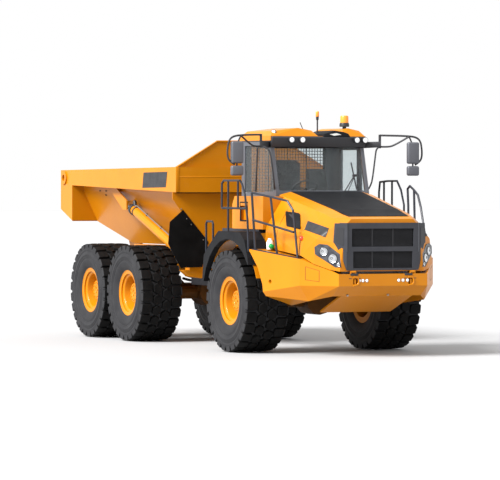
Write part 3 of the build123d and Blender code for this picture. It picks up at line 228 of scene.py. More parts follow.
def join(pieces):
    """Several meshes as one piece."""
    clear()
    for piece in pieces:
        piece.select_set(True)
    bpy.context.view_layer.objects.active = pieces[0]
    bpy.ops.object.join()
    return bpy.context.object


MIRROR_X = Matrix.Scale(-1, 4, (1, 0, 0))
UPWARDS = Matrix.Rotation(-pi / 2, 4, "Y")  # a turned body's axis from X to upright
FORWARDS = Matrix.Rotation(-pi / 2, 4, "Z")  # and from X to the front


def both_sides(piece):
    """A piece and its mirror image as one."""
    return join([piece, copy_of(piece, MIRROR_X)])


def modify(piece, kind, **settings):
    """Add a modifier and apply it."""
    modifier = piece.modifiers.new(kind.lower(), kind)
    for name, value in settings.items():
        setattr(modifier, name, value)
    pick(piece)
    bpy.ops.object.modifier_apply(modifier=modifier.name)


def pipe(points, radius, resolution=3):
    """Smooth pipe or hose through points."""
    curve = bpy.data.curves.new("pipe", "CURVE")
    curve.dimensions, curve.bevel_depth, curve.bevel_resolution, curve.use_fill_caps = "3D", radius, resolution, True
    spline = curve.splines.new("NURBS")
    spline.points.add(len(points) - 1)
    for point, place in zip(spline.points, points):
        point.co = (*place, 1)
    spline.order_u, spline.use_endpoint_u = 3, True
    piece = bpy.data.objects.new("pipe", curve)
    bpy.context.collection.objects.link(piece)
    pick(piece)
    bpy.ops.object.convert(target="MESH")
    return settle()


def side_view(x, outline):
    """Points of an outline of (distance, z) at one x."""
    return [at(x, distance, z) for distance, z in outline]


def front_view(distance, outline):
    """Points of an outline of (x, z) at one distance behind the front axle."""
    return [at(x, distance, z) for x, z in outline]


def prism(corners, offset, bevel=0.0):
    """Straight body from a flat outline carried along an offset."""
    clear()
    bpy.ops.mesh.primitive_circle_add(vertices=len(corners), fill_type="NGON")
    piece = bpy.context.object
    for vertex, corner in zip(piece.data.vertices, corners):
        vertex.co = corner

    def run():
        bpy.ops.mesh.extrude_region_move(TRANSFORM_OT_translate={"value": Vector(offset)})
        bpy.ops.mesh.select_all(action="SELECT")
        bpy.ops.mesh.normals_make_consistent(inside=False)

    return rounded(edit(piece, run), bevel)


VIEW = Vector((0.4108, 0.9115, -0.0175))  # the photograph's line of sight
INWARDS = Vector((1, 0, 0))  # onto the right side from outside
THROW = 0.4  # how far back a patch starts before it is laid on its node


def patch(corners, node, along, proud, thick, cuts=6, round_off=0.0):
    """Thin plate laid on a CAD node: its four corners are thrown along a direction onto the surface."""
    turn = facing(along)
    clear()
    bpy.ops.mesh.primitive_plane_add(size=1)
    piece = bpy.context.object
    for vertex, corner in zip(piece.data.vertices, (corners[0], corners[1], corners[3], corners[2])):
        vertex.co = turn.inverted() @ (corner - along * THROW)
    if round_off:
        edit(piece, lambda: bpy.ops.mesh.bevel(offset=round_off, segments=3, affect="VERTICES"))
    else:
        edit(piece, lambda: bpy.ops.mesh.subdivide(number_cuts=cuts))
    piece.matrix_world = turn
    bpy.context.view_layer.update()
    modify(
        piece, "SHRINKWRAP", target=frame["nodes"][node], wrap_method="PROJECT", use_project_x=True,
        use_negative_direction=False, use_positive_direction=True, offset=proud,
    )
    settle()
    modify(piece, "SOLIDIFY", thickness=thick, offset=0)
    if round_off:
        modify(piece, "BEVEL", width=thick * 0.3, segments=2, limit_method="ANGLE")
    return edit(piece, lambda: bpy.ops.mesh.normals_make_consistent(inside=False))


def dress(piece, name, finish, body="front_frame", smooth=35, cad=None):
    """Name a piece, set its finish and smoothness, attach it to its body and hide the CAD node it stands for."""
    piece.name = piece.data.name = name
    piece.data.materials.clear()
    piece.data.materials.append(bpy.data.materials[finish])
    pick(piece)
    bpy.ops.object.shade_smooth_by_angle(angle=radians(smooth))
    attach(piece, body)
    if cad:
        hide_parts(cad)


# Finishes
def new_finish(name):
    """Empty material with its shader, node list and link function."""
    material = bpy.data.materials.new(name)
    material.use_nodes = True
    nodes, link = material.node_tree.nodes, material.node_tree.links.new
    return material, nodes, link, nodes["Principled BSDF"]


def noise(nodes, link, place, scale, detail=4.0, stretch=(1, 1, 1)):
    """Noise pattern on the piece's own coordinates."""
    turn = nodes.new("ShaderNodeMapping")
    turn.inputs["Scale"].default_value = stretch
    link(place, turn.inputs["Vector"])
    pattern = nodes.new("ShaderNodeTexNoise")
    pattern.inputs["Scale"].default_value = scale
    pattern.inputs["Detail"].default_value = detail
    link(turn.outputs["Vector"], pattern.inputs["Vector"])
    return pattern.outputs["Fac"]


def spread(nodes, link, value, low, high, to_low, to_high):
    """Value stretched from one range to another."""
    range_node = nodes.new("ShaderNodeMapRange")
    for socket, number in zip(("From Min", "From Max", "To Min", "To Max"), (low, high, to_low, to_high)):
        range_node.inputs[socket].default_value = number
    link(value, range_node.inputs["Value"])
    return range_node.outputs["Result"]


def mixed(nodes, link, share, a, b):
    """Colour that goes from a to b with share."""
    mix = nodes.new("ShaderNodeMix")
    mix.data_type = "RGBA"
    link(share, mix.inputs["Factor"])
    for socket, colour in ((mix.inputs["A"], a), (mix.inputs["B"], b)):
        socket.default_value = (*colour, 1)
    return mix.outputs["Result"]


def surface(name, colour, other, mottle, rough, grain, bump, metal=0.0, coat=0.0, shine=0.3):
    """Finish with mottled colour, uneven gloss and fine grain."""
    material, nodes, link, shader = new_finish(name)
    place = nodes.new("ShaderNodeTexCoord").outputs["Object"]
    mottled = spread(nodes, link, noise(nodes, link, place, mottle), 0.35, 0.65, 0, 1)
    link(mixed(nodes, link, mottled, colour, other), shader.inputs["Base Color"])
    fine = noise(nodes, link, place, grain, 3.0)
    link(spread(nodes, link, fine, 0.3, 0.7, *rough), shader.inputs["Roughness"])
    raised = nodes.new("ShaderNodeBump")
    raised.inputs["Strength"].default_value = bump
    raised.inputs["Distance"].default_value = 0.002
    link(fine, raised.inputs["Height"])
    link(raised.outputs["Normal"], shader.inputs["Normal"])
    shader.inputs["Metallic"].default_value = metal
    shader.inputs["Coat Weight"].default_value = coat
    shader.inputs["Specular IOR Level"].default_value = shine
    return material


def glass_finish():
    """Lightly tinted glass with faint smears."""
    material, nodes, link, shader = new_finish("cab_glass_tint")
    place = nodes.new("ShaderNodeTexCoord").outputs["Object"]
    smears = noise(nodes, link, place, 5.0, 5.0, (1, 1, 0.3))
    link(spread(nodes, link, smears, 0.3, 0.7, 0.02, 0.07), shader.inputs["Roughness"])
    link(mixed(nodes, link, smears, (0.74, 0.79, 0.8), (0.82, 0.86, 0.87)), shader.inputs["Base Color"])
    shader.inputs["Transmission Weight"].default_value = 0.965
    shader.inputs["IOR"].default_value = 1.1
    return material


def lighter(colour, share):
    """Colour moved towards white by a share."""
    return tuple(c + (1 - c) * share for c in colour)


FINISHES = {  # of each material slot: the finish of its CAD nodes, then those that only fitted pieces wear
    "yellow_paint": ("amber_paint",),
    "dark_paint": ("rail_paint", "cab_paint", "green_cap"),
    "black_paint": ("flap_black", "black_trim", "seam_and_shadow_black", "blank_plate"),
    "grey_plastic": ("moulded_plastic", "trim_plastic"),
    "tyre_rubber": ("tread_rubber", "sidewall_rubber"),
    "glass": ("cab_glass_tint",),
    "rod_chrome": ("ram_rod_chrome", "zinc_bolt"),
    "cast": ("cast_block",),
    "alu": ("cooler_core",),
    "seat_fabric": ("seat_cloth",),
    "orange_lens": ("amber_lens", "red_lens"),
    "clear_lens": ("lamp_housing", "lamp_silver", "lamp_white", "milky_plastic_and_glint"),
}
OWN_FINISH = {  # CAD nodes that are lighter, darker or duller than the others of their slot; the darker amber of the parts under the body is painted shade
    "door": "cab_paint",
    "hood_trim": "trim_plastic",
    # painted shade: the axles, propshaft, walking beams and yoke wear a darkened amber
    **dict.fromkeys(("front_axle", "rear_axles", "propshaft", "walking_beams", "yoke"), "axle_amber_painted_shade"),
}


def build_finishes():
    """Make every finish of the truck."""
    paint = bpy.context.scene.truck_paint
    glass_finish()
    surface("amber_paint", paint.body, paint.faded, 1.6, (0.28, 0.42), 90, 0.02, coat=0.12, shine=0.2)
    # darkened amber of the parts under the body: painted shade of the amber paint
    surface("axle_amber_painted_shade", (0.13, 0.05, 0.008), (0.085, 0.036, 0.01), 3, (0.5, 0.7), 90, 0.08, shine=0.15)
    surface("rail_paint", paint.rails, lighter(paint.rails, 0.01), 4, (0.4, 0.55), 80, 0.05, coat=0.1, shine=0.25)
    surface("cab_paint", paint.cab, lighter(paint.cab, 0.004), 4, (0.42, 0.48), 80, 0.02, metal=0.3, shine=0.5)
    surface("flap_black", paint.black, lighter(paint.black, 0.003), 5, (0.5, 0.7), 90, 0.05, shine=0.07)
    # black of trim, also painted shade in the rims' grooves and the bumper's slots
    surface("black_trim", paint.trim, lighter(paint.trim, 0.002), 5, (0.42, 0.48), 90, 0.02, metal=0.3, shine=0.5)
    surface("moulded_plastic", paint.plastic, lighter(paint.plastic, 0.004), 4, (0.5, 0.68), 220, 0.1, shine=0.1)
    surface("trim_plastic", (0.034, 0.035, 0.042), (0.042, 0.043, 0.05), 5, (0.45, 0.6), 220, 0.08, shine=0.25)
    surface("tread_rubber", paint.rubber, lighter(paint.rubber, 0.004), 6, (0.6, 0.85), 140, 0.25, shine=0.12)
    surface("sidewall_rubber", paint.sidewall, lighter(paint.sidewall, 0.008), 5, (0.55, 0.75), 160, 0.12, shine=0.2)
    surface("ram_rod_chrome", (0.8, 0.81, 0.83), (0.72, 0.73, 0.76), 8, (0.06, 0.15), 200, 0.02, metal=1.0)
    surface("cast_block", (0.1, 0.1, 0.105), (0.15, 0.145, 0.14), 7, (0.6, 0.8), 160, 0.3, metal=0.6)
    surface("cooler_core", (0.3, 0.31, 0.33), (0.22, 0.23, 0.25), 9, (0.4, 0.6), 250, 0.2, metal=0.9)
    surface("seat_cloth", (0.05, 0.05, 0.056), (0.085, 0.085, 0.09), 14, (0.8, 0.95), 600, 0.4)
    surface("amber_lens", paint.lens, lighter(paint.lens, 0.002), 12, (0.22, 0.28), 120, 0.02, shine=0.5)
    surface("red_lens", (0.75, 0.035, 0.015), (0.85, 0.06, 0.02), 30, (0.12, 0.25), 120, 0.05, coat=0.5)
    housing = lighter(paint.rails, 0.01), lighter(paint.rails, 0.05)
    surface("lamp_housing", *housing, 18, (0.15, 0.3), 150, 0.03, coat=0.5)
    surface("lamp_silver", (0.86, 0.88, 0.9), (0.7, 0.72, 0.75), 30, (0.05, 0.15), 200, 0.02, metal=1.0)
    surface("lamp_white", (0.88, 0.9, 0.92), (0.95, 0.96, 0.97), 30, (0.1, 0.25), 200, 0.04, coat=0.6)
    # milky plastic of the washer bottle, also the pale painted highlight on the roof hatch
    surface("milky_plastic_and_glint", (0.7, 0.7, 0.67), (0.8, 0.8, 0.77), 10, (0.35, 0.5), 90, 0.05)
    surface("green_cap", (0.0, 0.2, 0.035), (0.0, 0.27, 0.05), 12, (0.35, 0.5), 120, 0.05)
    # brownish black of the panel seams, also the painted shadow and the painted shade of holes on the bin
    surface("seam_and_shadow_black", (0.05, 0.022, 0.004), (0.08, 0.03, 0.005), 12, (0.6, 0.8), 90, 0.05)
    surface("zinc_bolt", (0.45, 0.44, 0.42), (0.36, 0.35, 0.33), 25, (0.3, 0.5), 200, 0.1, metal=0.9)
    surface("blank_plate", (0.018, 0.018, 0.02), (0.03, 0.03, 0.032), 9, (0.35, 0.5), 140, 0.04)


class TRUCK_OT_finishes(Operator):
    """Give every CAD piece the finish of its slot"""

    bl_idname = "truck.finishes"
    bl_label = "Finishes"

    def execute(self, context):
        build_finishes()
        for part in frame["record"]["subparts"]:
            finish = OWN_FINISH.get(part["node"], FINISHES[part["material_slot"]][0])
            materials = frame["nodes"][part["node"]].data.materials
            materials.clear()
            materials.append(bpy.data.materials[finish])
        return {"FINISHED"}


# Wheels
SIDEWALL = (  # across from the wheel's middle, radius, from the bead to the shoulder
    (0.285, 0.3186), (0.2995, 0.3785), (0.318, 0.403), (0.338, 0.45), (0.3475, 0.5), (0.35, 0.53),
    (0.347, 0.536), (0.347, 0.546), (0.352, 0.551), (0.356, 0.594), (0.3592, 0.598), (0.3595, 0.607),
    (0.356, 0.612), (0.354, 0.65), (0.348, 0.658), (0.348, 0.672), (0.3535, 0.68), (0.3525, 0.708),
    (0.347, 0.718), (0.344, 0.735), (0.332, 0.745), (0.15, 0.75),
)
RIM_FACE = (  # across and radius from the spindle's bore over the back, the barrel and the flange to the hub
    (0.098, 0.0508), (0.035, 0.0508), (0.035, 0.288), (-0.3, 0.288), (-0.3, 0.377), (-0.285, 0.3175),
    (0.285, 0.3175), (0.2995, 0.377), (0.302, 0.373), (0.301, 0.3665), (0.282, 0.3645), (0.256, 0.3635),
    (0.256, 0.356), (0.262, 0.35), (0.263, 0.342), (0.258, 0.308), (0.25, 0.287), (0.241, 0.277),
    (0.231, 0.272), (0.1, 0.262), (0.088, 0.254), (0.085, 0.24), (0.085, 0.18), (0.094, 0.168),
    (0.182, 0.1595), (0.19, 0.151), (0.19, 0.076), (0.184, 0.07), (0.184, 0.03),
)
COLUMNS = ((-0.084, 0.5), (0.084, 0.0))  # across the tyre and turned by a share of the pitch
BLOCK_HALF_WIDTH, BLOCK_HALF_LENGTH = 0.078, 0.102
BLOCK_DEPTH = 0.062
BOLTS = ((16, 0.214, 0.082, 0.012), (12, 0.125, 0.188, 0.01), (3, 0.045, 0.182, 0.014))  # count, ring, face, radius
# across and radius of a black ring in the rim's groove, which is painted shade
RIM_GROOVE_SHADE = ((0.2585, 0.356), (0.2585, 0.3655), (0.286, 0.3658), (0.287, 0.361), (0.28, 0.357))


def at_wheels(*forms):
    """Put copies of forms at every wheel: piece, name, finish, smoothing and the CAD node it stands for."""
    for wheel, side, distance in WHEELS:
        turn = Matrix.Rotation(0 if side == LEFT else pi, 4, "Z")
        place = Matrix.Translation((side * TRACK_HALF, aft(distance), AXLE_Z)) @ turn
        for piece, name, finish, smooth, cad in forms:
            cad = cad and f"{cad}_{wheel}"
            dress(copy_of(piece, place), f"{name}_{wheel}", finish, f"wheel_{wheel}", smooth, cad=cad)
    for piece, *_ in forms:
        bpy.data.objects.remove(piece)


def centre_block(across, top):
    """Six-sided tread block standing at the top of the tyre."""
    clear()
    middle = (across, 0, top - BLOCK_DEPTH / 2)
    bpy.ops.mesh.primitive_cylinder_add(vertices=6, radius=1, depth=BLOCK_DEPTH, location=middle)
    bpy.context.object.scale = (BLOCK_HALF_WIDTH / cos(radians(30)), BLOCK_HALF_LENGTH, 1)
    piece = settle()

    def shape():
        bpy.ops.mesh.select_all(action="DESELECT")
        bpy.ops.object.mode_set(mode="OBJECT")
        for face in piece.data.polygons:
            face.select = face.normal.z > 0.9
        bpy.ops.object.mode_set(mode="EDIT")
        bpy.ops.transform.resize(value=(0.9, 0.9, 1), center_override=(across, 0, top))
        bpy.ops.mesh.bevel(offset=0.007, segments=1, affect="EDGES")

    return edit(piece, shape)


def shoulder_block(top):
    """Tread block at the tyre's edge, upright down its outer side and narrower inwards."""
    piece = block((0.172, -0.074, 0.69), (0.351, 0.074, top - 0.002))
    cut(piece, (0.344, 0, top - 0.002), (1, 0, 0.12))
    cut(piece, (0.27, 0, top - 0.002), (0.1, 0, 1))
    cut(piece, (0.172, 0.046, 0), (-1, 0.7, 0))
    cut(piece, (0.172, -0.046, 0), (-1, -0.7, 0))
    return rounded(piece, 0.006, 1)


def all_round(piece, count, share):
    """Copies of a piece round the wheel, turned by a share of their pitch. The first piece goes."""
    copies = [copy_of(piece, Matrix.Rotation((i + share) * 2 * pi / count, 4, "X")) for i in range(count)]
    bpy.data.objects.remove(piece)
    return copies


class TRUCK_OT_tyres(Operator):
    """Model one tyre with its tread and set it at every wheel"""

    bl_idname = "truck.tyres"
    bl_label = "Tyres"

    def execute(self, context):
        size = context.scene.truck_tyre
        outline = [(-x, r) for x, r in SIDEWALL] + [(x, r) for x, r in reversed(SIDEWALL)]
        casing = turned(outline, size.segments, closed=True)
        shoulder = shoulder_block(size.block_top)
        blocks = [(shoulder, 0.25), (copy_of(shoulder, MIRROR_X), 0.75)]
        blocks += [(centre_block(across, size.block_top), share) for across, share in COLUMNS]
        row = []
        for piece, share in blocks:
            row += all_round(piece, size.blocks, share)
        tread = join(row)
        tooth = block((0.338, -0.064, 0.706), (0.3535, 0.064, 0.785), 0.005, 1)
        teeth = [casing]
        for piece, share in ((tooth, 0.25), (copy_of(tooth, MIRROR_X), 0.75)):
            teeth += all_round(piece, size.blocks, share)
        at_wheels(
            (join(teeth), "tyre_casing", "sidewall_rubber", 35, "tyre"),
            (tread, "tyre_tread", "tread_rubber", 20, None),
        )
        return {"FINISHED"}


class TRUCK_OT_rims(Operator):
    """Model one rim with its bolts and a black ring of painted shade in its groove, and set it at every wheel"""

    bl_idname = "truck.rims"
    bl_label = "Rims"

    def execute(self, context):
        segments = context.scene.truck_tyre.segments
        parts = [turned(RIM_FACE, segments)]
        for count, radius, face, size in BOLTS:
            for i in range(count):
                turn = i * 2 * pi / count
                y, z = radius * cos(turn), radius * sin(turn)
                parts.append(rod((face, y, z), (face + 0.016, y, z), size, 6, size * 0.85))
        at_wheels((join(parts), "rim_round", "amber_paint", 40, "rim"))
        # black ring in the rim's groove: painted shade of the groove
        at_wheels((turned(RIM_GROOVE_SHADE, segments, closed=True), "lock_ring", "black_trim", 40, None))
        return {"FINISHED"}


# Hood
LAMP_NORMAL = Vector((-0.661, -0.747, 0.08)).normalized()
LAMPS = (  # x, distance behind the front axle, z and radius of each round lamp on the right cheek
    (-0.8745, -2.215, 1.604, 0.06),
    (-0.773, -2.316, 1.499, 0.065),
    (-0.709, -2.3825, 1.408, 0.03),
)
LAMP_PROUD = 0.018
LAMP_PROFILES = (  # how far out and share of the lamp's radius, for the ring, the bowl and the eye
    ((-0.01, 1.16), (0.004, 1.16), (0.009, 1.08), (0.006, 0.99)),
    ((-0.008, 1), (0.006, 1), (0.009, 0.93), (0.0055, 0.8), (0.0075, 0.62), (0.0085, 0.36)),
    ((0.004, 0.34), (0.011, 0.3), (0.012, 0.22), (0.007, 0.16)),
)
EYE_OFFSET = Vector((-0.2, 0.2, 0.1))  # from the bowl's middle, in shares of the lamp's radius


class TRUCK_OT_headlamps(Operator):
    """Round lamps in the headlamp housings"""

    bl_idname = "truck.headlamps"
    bl_label = "Headlamps"

    def execute(self, context):
        rings, turn = [], facing(LAMP_NORMAL)
        for number, (x, distance, z, r) in enumerate(LAMPS):
            centre = at(x, distance, z) + LAMP_NORMAL * LAMP_PROUD
            ring, dish, eye = ([(out, r * share) for out, share in profile] for profile in LAMP_PROFILES)
            rings.append(turned_at(ring, 32, centre, turn))
            bowl = both_sides(turned_at(dish, 32, centre, turn))
            rings.append(turned_at(eye, 32, centre + EYE_OFFSET * r, turn))
            dress(bowl, f"headlamp_bowl_{number}", "lamp_silver", "hood")
        dress(both_sides(join(rings)), "headlamp_rings", "black_trim", "hood")
        return {"FINISHED"}


GRILLE_OPENINGS = ((1.362, 1.606), (1.688, 1.95))  # low and high edge
SLAT_PITCH = 0.016
WING = ((0.6, 2.035), (0.76, 2.035), (0.776, 1.745), (0.654, 1.652), (0.6, 1.6))
POCKET = ((0.645, 1.965), (0.735, 1.965), (0.75, 1.765), (0.735, 1.745), (0.655, 1.7), (0.645, 1.712))


def on_wing(x, z, proud):
    """Point standing proud of the slanted wing beside the grille."""
    return at(x, -2.452 + 0.7176 * (x - 0.61) - proud * 0.81, z) + Vector((proud * 0.58, 0, 0))


class TRUCK_OT_grille(Operator):
    """Fine slats in the two grille openings and the dark pockets beside them"""

    bl_idname = "truck.grille"
    bl_label = "Grille"

    def execute(self, context):
        slats = []
        for low, high in GRILLE_OPENINGS:
            count = int((high - low) / SLAT_PITCH)
            for i in range(count):
                z = low + (high - low) * (i + 0.5) / count
                slat = block((-0.505, aft(-2.4365), z - 0.0035), (0.505, aft(-2.419), z + 0.0035))
                slats.append(cut(slat, (0, aft(-2.43), z + 0.0035), (0, -0.5, 1)))
            for x in (-0.175, 0.175):
                slats.append(block((x - 0.006, aft(-2.44), low), (x + 0.006, aft(-2.421), high), 0.002))
        dress(join(slats), "grille_slats", "black_trim", "hood", 20)
        plate = prism([on_wing(x, z, 0.004) for x, z in WING], (-0.01, 0.014, 0))
        dress(both_sides(plate), "grille_wings", "trim_plastic", "hood", 20)
        pocket = prism([on_wing(x, z, 0.008) for x, z in POCKET], (-0.0046, 0.0065, 0))
        dress(both_sides(pocket), "grille_pockets", "black_trim", "hood", 20)
        return {"FINISHED"}


VENT_FRAME = ((-1.018, 2.207), (-1.548, 2.175), (-1.556, 1.934), (-1.048, 1.973))
VENT_MOUTH = ((-1.051, 2.168), (-1.28, 2.155), (-1.28, 1.987), (-1.062, 2.003))
VENT_COWL = ((-1.285, 2.196), (-1.548, 2.175), (-1.556, 1.934), (-1.285, 1.957))
VENT = (  # name, outline, how proud, thickness and finish of each plate of the right vent
    ("frame", VENT_FRAME, 0.008, 0.014, "moulded_plastic"),
    ("mouth", VENT_MOUTH, 0.0155, 0.004, "black_trim"),
    ("cowl", VENT_COWL, 0.022, 0.022, "moulded_plastic"),
)
HOOD_PLATE = ((-1.806, 2.068), (-2.567, 1.965), (-2.428, 1.828), (-1.678, 1.93))
HOOD_SEAMS = ((-0.93, 2.33, -0.99, 1.7), (-1.74, 1.98, -1.76, 1.6))  # distance and z of both ends
MARKER_AT = (-1.02, -1.735, 1.799)
MARKER = ((-0.004, 0.038), (0.008, 0.038), (0.024, 0.03), (0.034, 0.016), (0.037, 0.006))


class TRUCK_OT_hood_detail(Operator):
    """Side vents, marker lamps, blank plates and panel seams of the hood"""

    bl_idname = "truck.hood_detail"
    bl_label = "Hood detail"

    def execute(self, context):
        def side_patch(name, x, outline, proud, thick, finish, cuts=8, round_off=0.0, along=VIEW):
            piece = patch(side_view(x, outline), "hood_shell", along, proud, thick, cuts, round_off)
            dress(both_sides(piece), name, finish, "hood", 30)

        for name, outline, proud, thick, finish in VENT:
            side_patch(f"hood_vent_{name}", -0.96, outline, proud, thick, finish, round_off=0.03)
        side_patch("hood_blank_plate", -0.95, HOOD_PLATE, 0.006, 0.004, "blank_plate", 16)
        for number, (y0, z0, y1, z1) in enumerate(HOOD_SEAMS):
            seam = ((y0, z0), (y0 - 0.008, z0), (y1 - 0.008, z1), (y1, z1))
            side_patch(f"hood_seam_{number}", -1.0, seam, 0.001, 0.002, "seam_and_shadow_black", cuts=5, along=INWARDS)
        hit, place, normal, _ = frame["nodes"]["hood_shell"].ray_cast(at(*MARKER_AT) - VIEW, VIEW)
        if not hit:
            raise RuntimeError("the hood is not where the marker lamp sits")
        dress(both_sides(turned_at(MARKER, 24, place, facing(normal))), "hood_markers", "red_lens", "hood")
        return {"FINISHED"}


# Cab
def screen_place(x, z, proud):
    """Point just ahead of the windscreen at this x and height."""
    sill, top = 2.49, 3.3
    return at(x, -0.33 + 0.23 * (z - sill) / (top - sill) - proud, z)


class TRUCK_OT_cab_body(Operator):
    """Cab body with its side windows carried forward to the front pillars, and the panes in them"""

    bl_idname = "truck.cab_body"
    bl_label = "Cab body"

    def execute(self, context):
        body = bpy.data.objects.new("cab_body", frame["nodes"]["cab_shell"].data.copy())
        context.collection.objects.link(body)
        edit(body, lambda: bpy.ops.mesh.remove_doubles(threshold=0.00002))
        panes = []
        for side, outline in (
            (RIGHT, [(-0.258, 2.505), (0.09, 2.505), (0.09, 3.219), (-0.058, 3.219)]),
            (LEFT, [(-0.258, 2.505), (-0.082, 2.505), (-0.082, 3.12)]),
        ):
            opening = prism(side_view(side * 0.73, outline), (side * 0.12, 0, 0))
            modify(body, "BOOLEAN", object=opening, operation="DIFFERENCE", solver="EXACT")
            bpy.data.objects.remove(opening)
            panes.append(prism(side_view(side * 0.786, outline), (side * 0.006, 0, 0)))
        dress(body, "cab_body", "cab_paint", smooth=30, cad="cab_shell")
        dress(join(panes), "quarter_panes", "cab_glass_tint", smooth=20)
        outline = ((0.372, 3.215), (0.4, 3.215), (0.478, 2.5), (0.45, 2.5))
        bar = prism(side_view(-0.808, outline), (0.02, 0, 0), 0.003)
        dress(bar, "side_window_bar", "black_trim")
        return {"FINISHED"}


BAND = ((-0.212, 3.345), (-0.196, 3.366), (-0.15, 3.366), (-0.102, 3.182), (-0.17, 3.2))
HATCH = ((0.078, 3.406), (0.264, 3.462), (0.42, 3.44), (0.505, 3.413), (0.552, 3.346), (0.078, 3.343))
# outline of a pale plate on the hatch: a painted highlight
HATCH_GLINT = ((0.175, 3.402), (0.3, 3.42), (0.38, 3.396), (0.25, 3.38))
ROOF_LAMPS = (-0.495, -0.307, 0.638, 0.781)
ROOF_CAN = ((-0.05, 0.03), (-0.03, 0.046), (0.018, 0.047), (0.022, 0.043), (0.016, 0.041))
ROOF_LENS = ((0.004, 0.0425), (0.019, 0.0415), (0.023, 0.03), (0.021, 0.018), (0.025, 0.01))
MAST_AT, BEACON_AT = (0.2, 0.3), (0.553, 0.05)  # x and distance
MAST_TIP = ((0, 0.024), (0.005, 0.027), (0.07, 0.027), (0.084, 0.02), (0.088, 0.008))
BEACON_FOOT = ((0, 0.07), (0.004, 0.078), (0.03, 0.078), (0.06, 0.071), (0.062, 0.06))
BEACON_LENS = ((0, 0.064), (0.004, 0.067), (0.098, 0.065), (0.113, 0.058), (0.118, 0.045), (0.119, 0.02))


class TRUCK_OT_roof(Operator):
    """Header band with its work lamps, the hatch with a painted highlight, the mast and the beacon"""

    bl_idname = "truck.roof"
    bl_label = "Roof"

    def execute(self, context):
        band = prism(side_view(-0.812, BAND), (1.624, 0, 0), 0.006)
        hatch = prism(front_view(-0.205, HATCH), (0, 0.66, 0), 0.01)
        dress(hatch, "roof_hatch", "moulded_plastic")
        # pale plate on the hatch's front: a painted highlight
        glint = prism(front_view(-0.2075, HATCH_GLINT), (0, 0.004, 0))
        dress(glint, "hatch_painted_glint", "milky_plastic_and_glint")
        cans, lenses = [], []
        for x in ROOF_LAMPS:
            for profile, row in ((ROOF_CAN, cans), (ROOF_LENS, lenses)):
                row.append(turned_at(profile, 24, at(x, -0.228, 3.312), FORWARDS))
        place, turn = at(-0.735, -0.085, 3.435), facing(Vector((-0.6, -0.8, 0.1)))
        cans.append(turned_at([(-0.06, 0.03), (0.01, 0.038), (0.016, 0.034)], 20, place, turn))
        lenses.append(turned_at([(0.01, 0.031), (0.02, 0.026), (0.024, 0.01)], 20, place, turn))
        dress(join([band, *cans]), "roof_header_band", "black_trim")
        dress(join(lenses), "roof_lamp_lenses", "lamp_white")
        mast = [
            rod(at(*MAST_AT, 3.365), at(*MAST_AT, 3.435), 0.04, 16, 0.018),
            rod(at(*MAST_AT, 3.43), at(*MAST_AT, 3.64), 0.012, 12),
            rod(at(*MAST_AT, 3.632), at(*MAST_AT, 3.69), 0.02, 12, 0.024),
            rod(at(-0.038, 0.3, 3.45), at(-0.103, 0.3, 3.592), 0.007, 8),
            rod(at(*BEACON_AT, 3.48), at(*BEACON_AT, 3.53), 0.03, 16),
        ]
        mast.append(turned_at(BEACON_FOOT, 32, at(*BEACON_AT, 3.524), UPWARDS))
        dress(join(mast), "mast_and_lamp_foot", "black_trim", cad="roof_fittings")
        dress(turned_at(MAST_TIP, 20, at(*MAST_AT, 3.686), UPWARDS), "mast_tip", "amber_lens")
        lens = turned_at(BEACON_LENS, 40, at(*BEACON_AT, 3.584), UPWARDS)
        dress(lens, "beacon_lens", "amber_lens", cad="beacon")
        return {"FINISHED"}


MIRROR_ARMS = (  # points of each arm of the left mirror and its radius
    ([(1.03, -0.25, 3.185), (1.03, -0.25, 3.29), (1.03, -0.25, 3.4)], 0.022),
    (
        [
            (1.03, -0.25, 3.388), (1.24, -0.345, 3.385), (1.43, -0.435, 3.378), (1.58, -0.435, 3.362),
            (1.655, -0.435, 3.3), (1.678, -0.435, 3.18), (1.682, -0.435, 3.06), (1.65, -0.435, 2.975),
            (1.56, -0.435, 2.925),
        ],
        0.0155,
    ),
    ([(1.03, -0.25, 3.21), (1.13, -0.29, 3.205), (1.24, -0.335, 3.225), (1.45, -0.435, 3.368)], 0.0145),
    ([(1.45, -0.435, 3.37), (1.48, -0.435, 3.325), (1.5, -0.435, 3.27)], 0.013),
    ([(1.52, -0.435, 2.95), (1.52, -0.435, 2.92), (1.52, -0.435, 2.89)], 0.013),
    (
        [
            (1.03, -0.25, 3.215), (0.935, -0.32, 3.18), (0.905, -0.35, 3.08), (0.855, -0.35, 2.7),
            (0.835, -0.325, 2.6), (0.812, -0.29, 2.54),
        ],
        0.0135,
    ),
)
MIRROR_HEADS = ((2.94, 3.282), (2.752, 2.906))  # low and high edge


class TRUCK_OT_mirrors(Operator):
    """Rounded mirror heads on smooth arms at both front corners of the cab"""

    bl_idname = "truck.mirrors"
    bl_label = "Mirrors"

    def execute(self, context):
        arms = [pipe([at(*point) for point in points], radius, 2) for points, radius in MIRROR_ARMS]
        bracket = [at(0.806, -0.07, z) for z in (3.185, 3.285)] + [at(1.035, -0.242, z) for z in (3.292, 3.2)]
        arms.append(prism(bracket, (0, -0.04, 0), 0.006))
        dress(both_sides(join(arms)), "mirror_arms", "black_trim", cad="mirrors")
        heads, faces = [], []
        for low, high in MIRROR_HEADS:
            heads.append(block(at(1.418, -0.478, low), at(1.622, -0.397, high), 0.03, 4))
            faces.append(block(at(1.446, -0.399, low + 0.028), at(1.594, -0.3945, high - 0.028), 0.002))
        dress(both_sides(join(heads)), "mirror_heads", "cab_paint", smooth=50)
        dress(both_sides(join(faces)), "mirror_faces", "ram_rod_chrome", smooth=20)
        return {"FINISHED"}


MESH_WIRE = 0.0055


